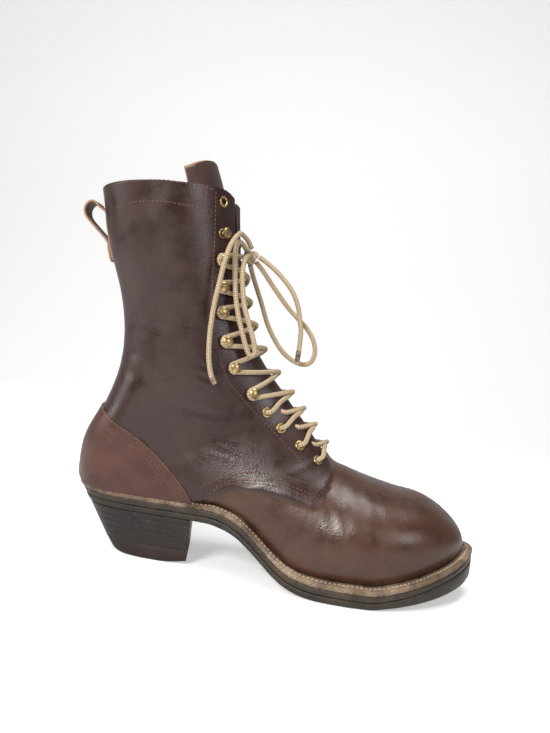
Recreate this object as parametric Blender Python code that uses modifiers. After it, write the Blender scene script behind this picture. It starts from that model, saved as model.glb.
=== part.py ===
"""Right-foot lace-up logger boot with a tall raked heel.

Units are metres in Blender; every size below is in millimetres.
Frame: +X toward the toe, +Y toward the inner (medial) side, +Z up.
The origin is on the floor under the middle of the heel.
"""
import math

import bmesh
import bpy
import numpy as np
from mathutils import Matrix, Vector
from mathutils.bvhtree import BVHTree

MM = 0.001
GAP = 0.3

# Thicknesses
OUTSOLE = 4.7
MIDSOLE = 4.2
WELT = 3.5
SOLE_STACK = OUTSOLE + MIDSOLE + WELT + 2 * GAP
INSOLE_RISE = 3.0
EDGE_EASE = 0.4
VAMP_WALL = 1.7
QUARTER_STEP = 1.3
COUNTER = 1.3
TONGUE = 2.0
LACE_R = 1.85

# Heel
BREAST_X = 37.0
HEEL_TOP_Z = 35.3
SEAT_Z = 48.6
LIFTS = 5
CAP_TOP_Z = 11.0
BASE_BACK_X = -27.5
BASE_HALF = 26.0
BASE_FROM_HALF = 36.4
BREAST_SKEW = 10.0
FLAT_FROM_X = -12.0
FLAT_TO_X = 16.0
CAP_REAR_RISE = 1.6
CAP_BREAST_RISE = 3.2

# Underside of the outsole along the boot: x, z
SOLE_RUN = [
    (-70, 35.6), (38, 35.6), (50, 36.0), (60, 34.3), (70, 30.9), (80, 24.8), (90, 17.4), (100, 9.9),
    (110, 4.3), (122, 1.0), (134, 0.0), (168, 0.0), (182, 1.9), (198, 4.6), (214, 7.9), (230, 11.6), (252, 15.8),
]

# Extra thickness of the outsole toward the toe, where the tread is less worn: x, thickness
TOE_EXTRA = [(-70, 0.0), (172, 0.0), (190, 1.1), (208, 3.2), (226, 5.4), (243, 7.2), (252, 7.6)]

# Outline of the sole seen from above: x, outer side y, inner side y
OUTLINE = [
    (-57.0, 0.0, 0.0),
    (-53.0, -15.5, 15.5),
    (-42.0, -27.0, 27.0),
    (-24.0, -33.6, 33.6),
    (-3.0, -36.0, 35.8),
    (18.0, -36.6, 34.6),
    (38.0, -37.2, 32.6),
    (60.0, -39.8, 31.4),
    (84.0, -45.6, 34.2),
    (108.0, -52.4, 41.0),
    (132.0, -57.2, 48.4),
    (155.0, -58.8, 53.2),
    (178.0, -56.4, 55.4),
    (198.0, -50.2, 54.4),
    (216.0, -40.6, 49.6),
    (231.0, -27.6, 41.0),
    (242.0, -10.5, 28.0),
    (248.0, 9.0, 9.0),
]

# Width of the welt outside the upper: x, width
WELT_WIDTH = [(-70, 3.4), (20, 3.6), (44, 5.0), (66, 6.8), (92, 8.4), (120, 9.0), (200, 9.2), (250, 8.4)]

# Sections of the upper, collar to toe. back_z of None sits on the welt.
# back_x, back_z, ridge_x, ridge_z, ridge_y, outer half, inner half, belly, top power, slot half
SECTIONS = [
    ("collar", -63.2, 267.5, 38.0, 275.5, 0.0, 48.0, 48.0, 0.48, 2.0, 15.0),
    ("shaft", -53.4, 228.0, 43.4, 240.0, 0.0, 44.0, 44.0, 0.48, 2.0, 15.0),
    ("low_shaft", -41.2, 194.0, 49.8, 206.0, 0.0, 39.5, 39.5, 0.46, 2.0, 15.0),
    ("ankle", -35.2, 165.0, 57.5, 183.0, 0.5, 36.5, 37.0, 0.42, 2.1, 17.5),
    ("ankle_bone", -35.8, 137.0, 67.5, 164.0, 1.0, 35.5, 37.0, 0.36, 2.2, 18.5),
    ("heel_top", -43.6, 109.0, 79.0, 148.5, 1.5, 34.5, 36.0, 0.29, 2.3, 17.0),
    ("heel_bulge", -54.2, 84.0, 89.5, 137.0, 2.0, 33.5, 35.0, 0.24, 2.4, 14.8),
    ("heel_low", -56.6, 63.0, 97.5, 128.0, 2.0, 33.0, 34.0, 0.21, 2.4, 13.5),
    ("seat_back", -53.6, None, 104.5, 120.5, 2.0, 32.5, 33.0, 0.20, 2.4, 12.8),
    ("seat", -34.0, None, 111.0, 113.5, 2.5, 32.8, 33.0, 0.22, 2.4, 12.5),
    ("breast", 8.0, None, 119.0, 104.0, 3.0, 34.2, 33.0, 0.25, 2.3, 12.2),
    ("waist", 44.0, None, 127.0, 94.5, 3.5, 36.5, 32.6, 0.30, 2.2, 12.0),
    ("instep", 75.0, None, 134.5, 87.0, 4.0, 40.5, 35.0, 0.33, 2.1, 12.0),
    ("ball_back", 106.0, None, 146.0, 83.0, 4.0, 47.0, 41.0, 0.30, 2.2, 12.0),
    ("ball", 138.0, None, 163.0, 78.2, 4.0, 52.4, 47.4, 0.27, 2.4, 11.0),
    ("ball_front", 168.0, None, 183.0, 73.8, 5.0, 51.4, 49.8, 0.27, 2.5, 9.0),
    ("toe_box", 198.0, None, 204.0, 70.2, 6.5, 43.6, 48.2, 0.27, 2.5, 8.0),
    ("toe", 220.0, None, 221.5, 61.6, 8.0, 30.0, 40.6, 0.30, 2.4, 6.0),
    ("nose", 233.5, None, 235.2, 49.0, 9.0, 13.0, 28.0, 0.40, 2.3, 3.0),
    ("tip", 239.6, None, 239.8, None, 9.0, -9.0, 9.0, 0.5, 2.0, 0.0),
]
ROW = {row[0]: index for index, row in enumerate(SECTIONS)}
LOW_COLUMNS = 4
FACE_COLUMNS = 6
STRIP_COLUMNS = 2


def smooth_table(table, x):
    """Monotone cubic through the rows of an x, y table."""
    xs = np.array([row[0] for row in table], float)
    ys = np.array([row[1] for row in table], float)
    h = np.diff(xs)
    d = np.diff(ys) / h
    slope = np.zeros(len(xs))
    for i in range(1, len(xs) - 1):
        if d[i - 1] * d[i] > 0:
            a = 2 * h[i] + h[i - 1]
            b = h[i] + 2 * h[i - 1]
            slope[i] = (a + b) / (a / d[i - 1] + b / d[i])
    slope[0] = d[0]
    slope[-1] = d[-1]
    x = min(max(x, xs[0]), xs[-1])
    i = min(int(np.searchsorted(xs, x, side="right")) - 1, len(h) - 1)
    t = (x - xs[i]) / h[i]
    a = (1 + 2 * t) * (1 - t) ** 2
    b = t * (1 - t) ** 2
    c = t * t * (3 - 2 * t)
    e = t * t * (t - 1)
    return float(a * ys[i] + b * h[i] * slope[i] + c * ys[i + 1] + e * h[i] * slope[i + 1])


def sole_z(x):
    return smooth_table(SOLE_RUN, x)


def seat_z(x):
    """Top of the welt, where the upper stands."""
    return sole_z(x) + SOLE_STACK + smooth_table(TOE_EXTRA, x)


def edge_z(x):
    """Lower edge of the upper: the welt's top and a gap, with the sagitta of one row added on a crest."""
    crest = seat_z(x) - 0.5 * (seat_z(x - 7) + seat_z(x + 7))
    return seat_z(x) + GAP + EDGE_EASE + max(0.0, crest)


def catmull(p0, p1, p2, p3, t):
    return 0.5 * (2 * p1 + (p2 - p0) * t + (2 * p0 - 5 * p1 + 4 * p2 - p3) * t * t
                  + (3 * p1 - p0 - 3 * p2 + p3) * t ** 3)


def outline_sides(per_row):
    """Outer and inner half curves of the sole, heel to toe, each n x 2."""
    outer = np.array([(x, a) for x, a, b in OUTLINE], float)
    inner = np.array([(x, b) for x, a, b in OUTLINE], float)
    halves = []
    for here, other in ((outer, inner), (inner, outer)):
        rows = np.vstack([other[1], here, other[-2]])
        points = []
        for i in range(len(here) - 1):
            for k in range(per_row):
                points.append(catmull(rows[i], rows[i + 1], rows[i + 2], rows[i + 3], k / per_row))
        points.append(here[-1])
        halves.append(np.array(points))
    return halves


def inset_sides(halves, width):
    """Move both half curves inward by width(x), measured square to the edge."""
    result = []
    for half, sign in zip(halves, (-1.0, 1.0)):
        tangent = np.gradient(half, axis=0)
        tangent[0] = (0.0, sign)
        tangent[-1] = (0.0, -sign)
        tangent /= np.linalg.norm(tangent, axis=1)[:, None]
        normal = np.stack([-tangent[:, 1], tangent[:, 0]], 1) * sign
        widths = np.array([width(x) for x in half[:, 0]])
        result.append(half - normal * widths[:, None])
    return result


def welt_width(x):
    return smooth_table(WELT_WIDTH, x)


FEATHER = inset_sides(outline_sides(8), welt_width)


def feather_half(x, side):
    """Signed y of the upper's lower edge at x, side -1 outer and +1 inner."""
    half = FEATHER[0] if side < 0 else FEATHER[1]
    return float(np.interp(x, half[:, 0], half[:, 1]))


def section_values(s):
    """Section columns at a real-valued row number, by a smooth curve through the rows."""
    table = []
    for row in SECTIONS:
        values = list(row[1:])
        if values[1] is None:
            values[1] = edge_z(values[0])
        if values[3] is None:
            values[3] = edge_z(values[2]) + 0.4
        table.append(values)
    table = np.array(table, float)
    last = len(table) - 1
    s = min(max(s, 0.0), last)
    i = min(int(s), last - 1)
    before = table[i - 1] if i > 0 else 2 * table[0] - table[1]
    after = table[i + 2] if i + 2 <= last else 2 * table[last] - table[last - 1]
    values = catmull(before, table[i], table[i + 1], after, s - i)
    if s >= ROW["seat_back"]:
        values[1] = edge_z(values[0])
    return values


def skin_point(s, side, angle):
    """Point of the upper's skin: angle -90 at the back or welt, 0 at the widest place, 90 on the ridge."""
    bx, bz, rx, rz, ry, outer, inner, belly, power, slot = section_values(s)
    wide = -outer if side < 0 else inner
    start = 0.0
    if s > ROW["seat_back"]:
        start = feather_half(bx, side)
        if side * (wide - start) < 0.3:
            wide = start + side * 0.3
    a = math.radians(angle)
    if angle <= 0:
        c = belly * (1 - math.cos(a + math.pi / 2))
        y = start + (wide - start) * math.sin(a + math.pi / 2)
    else:
        c = belly + (1 - belly) * math.sin(a) ** (2 / power)
        y = ry + (wide - ry) * math.cos(a)
    return np.array([bx + (rx - bx) * c, y, bz + (rz - bz) * c])


def slot_angle(s, side):
    """Angle at which the facing's front edge lies."""
    values = section_values(s)
    wide = values[5] + values[4] if side < 0 else values[6] - values[4]
    return math.degrees(math.acos(min(0.85, values[9] / max(wide, 0.5))))


def skin_normal(s, side, angle):
    ds = 0.05
    low = max(s - ds, 0.0)
    high = min(s + ds, len(SECTIONS) - 1.0)
    along = skin_point(high, side, angle) - skin_point(low, side, angle)
    if angle > 87:
        top = skin_point(s, side, 87)
        across = skin_point(s, -side, 87) - top
    else:
        across = skin_point(s, side, angle + 2) - skin_point(s, side, angle - 2 if angle > -88 else angle)
    normal = np.cross(along, across)
    if side > 0:
        normal = -normal
    length = np.linalg.norm(normal)
    return normal / length if length > 1e-9 else np.array([1.0, 0.0, 0.0])


def skin(s, side, angle, height):
    return skin_point(s, side, angle) + skin_normal(s, side, angle) * height


def column_angles(s, side):
    edge = slot_angle(s, side)
    low = [-90 + 90 * k / LOW_COLUMNS for k in range(LOW_COLUMNS)]
    face = [edge * k / FACE_COLUMNS for k in range(FACE_COLUMNS)]
    strip = [edge + (90 - edge) * k / STRIP_COLUMNS for k in range(STRIP_COLUMNS + 1)]
    return low + face + strip


ROW_STEPS = {"seat_back": 3, "breast": 3, "waist": 3, "instep": 3, "nose": 3}
ROWS = []
for index, section in enumerate(SECTIONS[:-1]):
    steps = ROW_STEPS.get(section[0], 2)
    ROWS += [index + k / steps for k in range(steps)]
ROWS.append(len(SECTIONS) - 1.0)
SIDE_COLUMNS = LOW_COLUMNS + FACE_COLUMNS + STRIP_COLUMNS
COLUMNS = 2 * SIDE_COLUMNS + 1


def skin_grid(rows):
    """Points of the whole skin, one row for each section, outer side first."""
    grid = []
    for s in rows:
        outer = [skin_point(s, -1, a) for a in column_angles(s, -1)]
        inner = [skin_point(s, 1, a) for a in column_angles(s, 1)]
        grid.append(outer + inner[::-1][1:])
    grid = np.array(grid)
    grid[-1] = grid[-1, 0]
    return grid


def grid_normals(grid, rows):
    """Vertex normals from the faces round each point, with the seam at the heel joined."""
    n, m = grid.shape[:2]
    closed = [s <= ROW["seat_back"] for s in rows]
    normal = np.zeros_like(grid)
    for i in range(n - 1):
        for j in range(m - 1):
            a, b, c, d = grid[i, j], grid[i, j + 1], grid[i + 1, j + 1], grid[i + 1, j]
            face = np.cross(c - a, d - b)
            for p, q in ((i, j), (i, j + 1), (i + 1, j + 1), (i + 1, j)):
                normal[p, q] += face
    for i in range(n):
        if closed[i]:
            total = normal[i, 0] + normal[i, m - 1]
            normal[i, 0] = total
            normal[i, m - 1] = total
        else:
            normal[i, 0, 2] = 0.0
            normal[i, m - 1, 2] = 0.0
    normal[0, :, 2] = 0.0
    normal[n - 1] = (1.0, 0.0, 0.0)
    length = np.linalg.norm(normal, axis=2, keepdims=True)
    normal = normal / np.maximum(length, 1e-12)
    middle = grid.mean(axis=(0, 1))
    if np.sum(normal[2, 5] * (grid[2, 5] - middle)) < 0:
        normal = -normal
        normal[n - 1] = (1.0, 0.0, 0.0)
    return normal


GRID = skin_grid(ROWS)
NORMALS = grid_normals(GRID, ROWS)


def offset_grid(height, drop=0.0):
    """The skin moved out by height; its lower edge stays on the welt, or goes below it by drop."""
    moved = GRID + NORMALS * height
    for i, s in enumerate(ROWS):
        if s > ROW["seat_back"]:
            for j in (0, COLUMNS - 1):
                moved[i, j, 2] = edge_z(moved[i, j, 0]) - drop
    seat = ROWS.index(ROW["seat_back"])
    for j in (0, COLUMNS - 1):
        moved[seat, j, 2] = edge_z(moved[seat, j, 0]) - drop
    moved[-1, :, 2] = edge_z(moved[-1, 0, 0]) - drop
    return moved


def new_mesh_object(name, verts, faces, collection, weld=1e-6):
    mesh = bpy.data.meshes.new(name)
    bm = bmesh.new()
    points = [bm.verts.new([float(v) * MM for v in p]) for p in verts]
    for face in faces:
        corners = []
        for k in face:
            if not corners or corners[-1] is not points[k]:
                corners.append(points[k])
        bm.faces.new(corners)
    bmesh.ops.remove_doubles(bm, verts=bm.verts, dist=weld)
    bmesh.ops.dissolve_degenerate(bm, dist=weld, edges=bm.edges)
    loose = [v for v in bm.verts if not v.link_faces]
    bmesh.ops.delete(bm, geom=loose, context="VERTS")
    bmesh.ops.recalc_face_normals(bm, faces=bm.faces)
    bm.to_mesh(mesh)
    bm.free()
    obj = bpy.data.objects.new(name, mesh)
    collection.objects.link(obj)
    return obj


def shell(name, inner, outer, keep, collection):
    """Closed shell between two grids of points, over the cells for which keep(i, j) holds."""
    n, m = inner.shape[:2]
    verts = np.vstack([inner.reshape(-1, 3), outer.reshape(-1, 3)])
    half = n * m
    same = {}
    key = []
    for k in range(half):
        mark = tuple(np.round(outer.reshape(-1, 3)[k], 4)) + tuple(np.round(inner.reshape(-1, 3)[k], 4))
        same.setdefault(mark, k)
        key.append(same[mark])
    faces = []
    edges = {}
    for i in range(n - 1):
        for j in range(m - 1):
            if not keep(i, j):
                continue
            ring = []
            for p, q in ((i, j), (i, j + 1), (i + 1, j + 1), (i + 1, j)):
                k = key[p * m + q]
                if k not in ring:
                    ring.append(k)
            if len(ring) < 3:
                continue
            for a, b in zip(ring[1:], ring[2:]):
                faces.append([ring[0] + half, a + half, b + half])
                faces.append([b, a, ring[0]])
            for a, b in zip(ring, ring[1:] + ring[:1]):
                edges.setdefault(frozenset((a, b)), []).append((a, b))
    for pairs in edges.values():
        if len(pairs) == 1:
            a, b = pairs[0]
            faces.append([b + half, a + half, a, b])
    return new_mesh_object(name, verts, faces, collection)


def strip_cell(i, j):
    """Cells of the strip between the facings."""
    return SIDE_COLUMNS - STRIP_COLUMNS <= j < SIDE_COLUMNS + STRIP_COLUMNS


def upper_cell(i, j):
    return not (strip_cell(i, j) and ROWS[i] < ROW["waist"])


def slab(name, levels, collection):
    """Closed slab through levels, bottom to top; each level is two half curves of equal length."""
    verts = []
    start = []
    count = len(levels[0][0])
    for outer, inner in levels:
        start.append((len(verts), len(verts) + count))
        verts.extend(outer)
        verts.extend(inner)
    faces = []
    for level, flip in ((0, False), (len(levels) - 1, True)):
        o, n = start[level]
        for k in range(count - 1):
            quad = [o + k, o + k + 1, n + k + 1, n + k]
            faces.append(quad[::-1] if flip else quad)
    for (o0, n0), (o1, n1) in zip(start, start[1:]):
        for k in range(count - 1):
            faces.append([o0 + k, o1 + k, o1 + k + 1, o0 + k + 1])
            faces.append([n0 + k, n0 + k + 1, n1 + k + 1, n1 + k])
        for k in (0, count - 1):
            if np.linalg.norm(levels[0][0][k] - levels[0][1][k]) > 1e-6:
                faces.append([o0 + k, n0 + k, n1 + k, o1 + k])
    keep = []
    for face in faces:
        spots = {tuple(np.round(verts[k], 5)) for k in face}
        if len(spots) >= 3:
            keep.append(face)
    return new_mesh_object(name, verts, keep, collection)


def lift_sides(halves, z_of):
    """Give flat half curves their heights."""
    return [np.array([(x, y, z_of(x)) for x, y in half]) for half in halves]


EDGE = outline_sides(2)


def rake(halves, depth):
    """Draw the heel end of two half curves in, as the raked heel does at this depth below the seat."""
    share = depth / SEAT_Z
    result = []
    for half in halves:
        x = half[:, 0]
        pull_x = share * (1 - (BREAST_X - BASE_BACK_X) / (BREAST_X - OUTLINE[0][0]))
        pull_y = share * (1 - BASE_HALF / BASE_FROM_HALF) * np.clip((BREAST_X + 16 - x) / 16.0, 0, 1)
        moved = half.copy()
        moved[:, 0] = np.where(x < BREAST_X, BREAST_X - (BREAST_X - x) * (1 - pull_x), x)
        moved[:, 1] = half[:, 1] * (1 - pull_y)
        result.append(moved)
    return result


def layer_z(x, rise, extra=1.0):
    return sole_z(x) + rise + extra * smooth_table(TOE_EXTRA, x)


def sole_level(inset, rise, extra=1.0):
    flat = rake(inset_sides(EDGE, lambda x: inset), SOLE_STACK - rise)
    return lift_sides(flat, lambda x: layer_z(x, rise, extra))


def build_sole(collection):
    slab("outsole", [
        sole_level(1.2, 0.0, 0.0),
        sole_level(0.2, 1.2, 0.0),
        sole_level(0.0, OUTSOLE - 0.6),
        sole_level(0.6, OUTSOLE),
    ], collection)
    low = OUTSOLE + GAP
    slab("midsole", [
        sole_level(0.9, low),
        sole_level(0.4, low + 0.6),
        sole_level(0.4, low + MIDSOLE - 0.6),
        sole_level(0.9, low + MIDSOLE),
    ], collection)
    low += MIDSOLE + GAP
    inner = inset_sides(EDGE, lambda x: welt_width(x) + VAMP_WALL + 0.7)
    loops = []
    for inset, rise in ((0.8, low), (0.3, low + 0.7), (0.3, low + WELT - 0.7), (1.0, low + WELT)):
        loops.append(loop_of(sole_level(inset, rise)))
    for rise in (low + WELT, low):
        loops.append(loop_of(lift_sides(inner, lambda x, r=rise: layer_z(x, r))))
    tube("welt", loops, collection)
    flat = inset_sides(EDGE, lambda x: welt_width(x) + VAMP_WALL + 1.0)
    top = inset_sides(EDGE, lambda x: welt_width(x) + VAMP_WALL + 2.0)
    slab("insole", [
        lift_sides(flat, lambda x: layer_z(x, low + 0.7)),
        lift_sides(flat, lambda x: layer_z(x, low + WELT + INSOLE_RISE - 1.0)),
        lift_sides(top, lambda x: layer_z(x, low + WELT + INSOLE_RISE)),
    ], collection)


def loop_of(halves):
    outer, inner = halves
    return np.vstack([outer, inner[::-1][1:-1]])


def tube(name, loops, collection):
    """Closed solid whose cross-section runs once round through the given loops."""
    count = len(loops[0])
    verts = np.vstack(loops)
    faces = []
    for a in range(len(loops)):
        b = (a + 1) % len(loops)
        for k in range(count):
            n = (k + 1) % count
            faces.append([a * count + k, a * count + n, b * count + n, b * count + k])
    return new_mesh_object(name, verts, faces, collection)


def heel_sides(z, inset=0.0):
    """Half curves of the heel at height z, with the breast cut slightly on the skew."""
    flat = [half[half[:, 0] < BREAST_X - 0.5] for half in inset_sides(EDGE, lambda x: 0.5 + inset)]
    closed = []
    for half in flat:
        edge = half[-1].copy()
        edge[0] = BREAST_X
        closed.append(np.vstack([half, edge]))
    result = rake(closed, SEAT_Z - z)
    middle = 0.5 * (result[0][0] + result[1][0])
    result[0][0] = middle
    result[1][0] = middle
    for half in result:
        skew = BREAST_SKEW * (half[:, 1] + BASE_FROM_HALF) / (2 * BASE_FROM_HALF)
        near = np.clip((half[:, 0] - 5.0) / (BREAST_X - 5.0), 0, 1)
        half[:, 0] = half[:, 0] - skew * near
    return result


def cap_floor(x):
    """Worn underside of the heel cap: a flat with its rear and breast edges eased up."""
    if x < FLAT_FROM_X:
        return CAP_REAR_RISE * ((FLAT_FROM_X - x) / (FLAT_FROM_X - BASE_BACK_X)) ** 1.5
    if x > FLAT_TO_X:
        return CAP_BREAST_RISE * ((x - FLAT_TO_X) / (BREAST_X - FLAT_TO_X)) ** 1.5
    return 0.0


def build_heel(collection):
    slab("heel_cap", [
        lift_sides(heel_sides(0.0, 0.8), cap_floor),
        lift_sides(heel_sides(1.0), lambda x: cap_floor(x) + 1.0),
        lift_sides(heel_sides(CAP_TOP_Z - GAP), lambda x: CAP_TOP_Z - GAP),
    ], collection)
    thick = (HEEL_TOP_Z - CAP_TOP_Z) / LIFTS
    for k in range(LIFTS):
        low = CAP_TOP_Z + k * thick
        high = low + thick - GAP
        slab("heel_lift_%d" % (k + 1), [
            lift_sides(heel_sides(low), lambda x, z=low: z),
            lift_sides(heel_sides(high), lambda x, z=high: z),
        ], collection)


# Edge of the quarters over the vamp, seen from the side: x, z, lower run and then the front of the flap
QUARTER_LOWER = [(38.0, 38.0), (41.0, 47.5), (45.6, 53.0), (49.7, 55.8), (55.9, 59.0), (64.1, 61.7), (79.7, 63.8),
                 (101.0, 62.5), (123.7, 58.3)]
QUARTER_FRONT = [(123.7, 58.3), (130.3, 70.3), (134.1, 80.5), (132.6, 86.5), (129.0, 91.0), (125.0, 95.0)]
# Top edge of the heel counter, seen from the side: x, z
COUNTER_EDGE = [(-70.0, 116.0), (-46.0, 108.0), (-30.7, 100.3), (-14.0, 92.6), (2.6, 82.0), (14.1, 72.2),
                (24.9, 62.8), (32.7, 53.9), (38.5, 45.0), (41.0, 38.0)]


# Rounded front corner at the top of each facing, seen from the side
CORNER_X = 29.0
CORNER_Z = 264.6
CORNER_R = 10.6


def corner_outline():
    """What is cut away in front of and above the rounded corner."""
    arc = []
    for k in range(7):
        turn = math.radians(15 * k)
        arc.append((CORNER_X + CORNER_R * math.sin(turn), CORNER_Z + CORNER_R * math.cos(turn)))
    return arc + [(60.0, CORNER_Z), (60.0, 290.0), (CORNER_X, 290.0)]


def fair_curve(points, per_part):
    """Smooth curve through hand-chosen points of any dimension."""
    p = np.array(points, float)
    p = np.vstack([2 * p[0] - p[1], p, 2 * p[-1] - p[-2]])
    out = []
    for i in range(1, len(p) - 2):
        for k in range(per_part):
            out.append(catmull(p[i - 1], p[i], p[i + 1], p[i + 2], k / per_part))
    out.append(p[-2])
    return np.array(out)


def prism(name, outline, half_width, collection):
    """Side outline in x and z drawn out along y."""
    count = len(outline)
    verts = [(x, -half_width, z) for x, z in outline] + [(x, half_width, z) for x, z in outline]
    faces = [list(range(count)), [count + k for k in range(count)][::-1]]
    for k in range(count):
        n = (k + 1) % count
        faces.append([k, count + k, count + n, n])
    return new_mesh_object(name, verts, faces, collection)


def apply_boolean(obj, cutter, operation, solver="EXACT"):
    modifier = obj.modifiers.new(operation.lower(), "BOOLEAN")
    modifier.operation = operation
    modifier.solver = solver
    modifier.object = cutter
    graph = bpy.context.evaluated_depsgraph_get()
    mesh = bpy.data.meshes.new_from_object(obj.evaluated_get(graph), depsgraph=graph)
    obj.modifiers.clear()
    old = obj.data
    obj.data = mesh
    bpy.data.meshes.remove(old)
    bm = bmesh.new()
    bm.from_mesh(mesh)
    bmesh.ops.remove_doubles(bm, verts=bm.verts, dist=2e-6)
    bmesh.ops.dissolve_degenerate(bm, dist=2e-6, edges=bm.edges)
    bm.to_mesh(mesh)
    bm.free()
    return obj


def build_upper(collection, cutters):
    upper = shell("upper", offset_grid(-VAMP_WALL), offset_grid(QUARTER_STEP), upper_cell, collection)
    first = ROWS.index(ROW["seat_back"])
    relief = shell("vamp_relief", offset_grid(0.0, 6.0), offset_grid(4.0, 6.0),
                   lambda i, j: i >= first + 1, cutters)
    edge = [tuple(p) for p in fair_curve(QUARTER_LOWER, 2)[:-1]] + [tuple(p) for p in fair_curve(QUARTER_FRONT, 2)]
    front = prism("vamp_region", edge + [(128.0, 115.0), (262.0, 115.0), (262.0, 0.0), (38.0, 0.0)], 90.0, cutters)
    apply_boolean(relief, front, "INTERSECT", "MANIFOLD")
    apply_boolean(upper, relief, "DIFFERENCE", "MANIFOLD")
    corner = prism("corner_region", corner_outline(), 40.0, cutters)
    apply_boolean(upper, corner, "DIFFERENCE", "MANIFOLD")
    return upper


def build_counter(collection, cutters):
    low = QUARTER_STEP + GAP
    last = ROWS.index(ROW["instep"])
    counter = shell("counter", offset_grid(low), offset_grid(low + COUNTER),
                    lambda i, j: not strip_cell(i, j) and 4 <= i < last, collection)
    edge = [tuple(p) for p in fair_curve(COUNTER_EDGE, 3)]
    region = prism("counter_region", edge + [(-110.0, 38.0), (-110.0, 117.0)], 90.0, cutters)
    apply_boolean(counter, region, "INTERSECT", "MANIFOLD")
    return counter


# Tongue
TONGUE_TOP_Z = 298.5
TONGUE_ROUND = 15.0
TONGUE_HALF = 38.0
TONGUE_LEAN = 18.0
TONGUE_LEAN_FROM_Z = 235.0
TONGUE_COLUMNS = 3
TONGUE_HEAD = (1.0, 0.85, 0.6, 0.3)

# Pull loop: free part of the folded strip between its two sewn layers, x, z
LOOP_ARC = [(-66.4, 256.0), (-69.6, 259.2), (-73.0, 259.8), (-76.2, 257.2), (-77.4, 252.6), (-75.6, 247.8),
            (-71.0, 243.3), (-66.4, 239.2)]
LOOP_WIDTH = 15.0
LOOP_THICK = 1.4
LOOP_FALL = 1.2

# Fittings of one side, top of the shaft to the throat: name, row number, distance behind the facing's edge
FITTINGS = [
    ("eyelet_top", 0.25, 13.5), ("hook_1", 0.87, 14.0), ("hook_2", 1.40, 15.8), ("hook_3", 1.97, 15.6),
    ("hook_4", 2.67, 15.2), ("hook_5", 3.60, 14.6), ("hook_6", 4.55, 15.0), ("hook_7", 5.85, 14.5),
    ("eyelet_1", 7.15, 13.2), ("eyelet_2", 8.70, 13.2), ("eyelet_3", 10.05, 12.6), ("eyelet_4", 11.25, 11.4),
]
SIDES = (("lateral", -1), ("medial", 1))
HOLE_R = 3.15
# Turned profiles: radius, height above the facing
EYELET_PROFILE = [(2.1, 0.8), (2.8, 1.1), (3.6, 0.9), (4.0, 0.0), (2.7, 0.0), (2.7, -2.9), (2.1, -2.9)]
HOOK_PROFILE = [(0.0, 6.4), (2.2, 6.1), (3.8, 5.4), (3.6, 4.9), (1.4, 4.8), (1.4, 0.8), (3.6, 0.8), (3.6, 0.0),
                (0.0, 0.0)]

# Lace: heights of its centreline over the skin, and how far a crossing stops from a fitting's axis
LACE_AT_FITTING = 4.4
LACE_AT_EDGE = 4.2
LACE_AT_RIDGE = 2.8
LACE_STOP = 7.2
LACE_OVERLAP = 1.1
KNOT = (53.0, -6.0, 232.0)
KNOT_HALF = (5.4, 5.2, 5.0)
KNOT_CLEAR = 6.85
LACE_END_LATERAL = [
    (53.0, -7.2, 238.2), (49.5, -12.0, 243.5), (45.5, -20.5, 246.2), (45.2, -28.0, 244.2), (43.8, -34.5, 240.5),
    (41.5, -39.5, 233.0), (39.5, -41.8, 222.0), (37.8, -42.0, 208.0), (36.2, -42.0, 194.0), (35.4, -41.6, 180.0),
    (35.6, -41.2, 165.0), (37.0, -40.6, 152.0), (39.8, -40.0, 142.0), (43.0, -39.8, 137.0),
]
LACE_LOOP_LATERAL = [
    (49.9, -9.7, 235.9), (47.0, -15.5, 239.4), (45.0, -23.0, 239.6), (44.2, -28.0, 233.0), (45.2, -29.0, 222.0),
    (46.8, -29.0, 210.0), (49.0, -29.2, 198.0), (52.4, -29.6, 186.0), (56.9, -29.8, 174.0), (61.0, -29.6, 164.0),
    (64.0, -28.6, 159.5), (67.0, -28.2, 161.8), (65.2, -28.6, 170.0), (60.4, -29.0, 182.0), (55.6, -28.8, 194.0),
    (52.6, -28.0, 207.0), (50.8, -26.6, 219.0), (50.9, -21.0, 228.5), (52.1, -12.3, 231.6),
]
LACE_LOOP_MEDIAL = [
    (53.0, -3.8, 226.1), (55.5, 3.0, 218.5), (59.0, 8.0, 210.0), (63.8, 10.0, 199.3), (71.5, 10.0, 181.9),
    (82.3, 10.0, 166.6), (92.0, 10.0, 159.1), (101.2, 10.0, 156.4), (107.4, 10.0, 158.9), (109.7, 10.0, 166.8),
    (107.5, 10.0, 175.3), (102.0, 10.0, 183.5), (94.6, 10.0, 190.1), (84.7, 9.0, 198.6), (72.0, 6.0, 212.4),
    (62.9, 1.5, 223.2), (57.0, -2.0, 229.0),
]
LACE_END_MEDIAL = [
    (59.2, -5.4, 232.6), (65.5, -4.0, 229.2), (75.6, -3.0, 222.0), (86.3, -2.0, 211.3), (92.3, -1.0, 200.5),
    (95.2, 0.0, 190.2), (97.1, 0.0, 181.6), (97.5, 0.0, 168.9), (97.2, 0.0, 158.8),
]


def tongue_grid(height):
    """The skin moved in by height, with the tongue's head drawn up above the collar and leant back."""
    body = offset_grid(height)[:ROWS.index(ROW["instep"]) + 2]
    head = []
    for share in TONGUE_HEAD:
        row = body[0].copy()
        for point in row:
            spread = min(abs(point[1]) / TONGUE_HALF, 1.3)
            top = TONGUE_TOP_Z - TONGUE_ROUND * spread ** 2.6
            point[2] += (top - point[2]) * share
        head.append(row)
    grid = np.vstack([np.array(head), body])
    above = np.clip((grid[:, :, 2] - TONGUE_LEAN_FROM_Z) / (TONGUE_TOP_Z - TONGUE_LEAN_FROM_Z), 0, None)
    grid[:, :, 0] -= TONGUE_LEAN * above ** 1.6
    return grid


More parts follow.
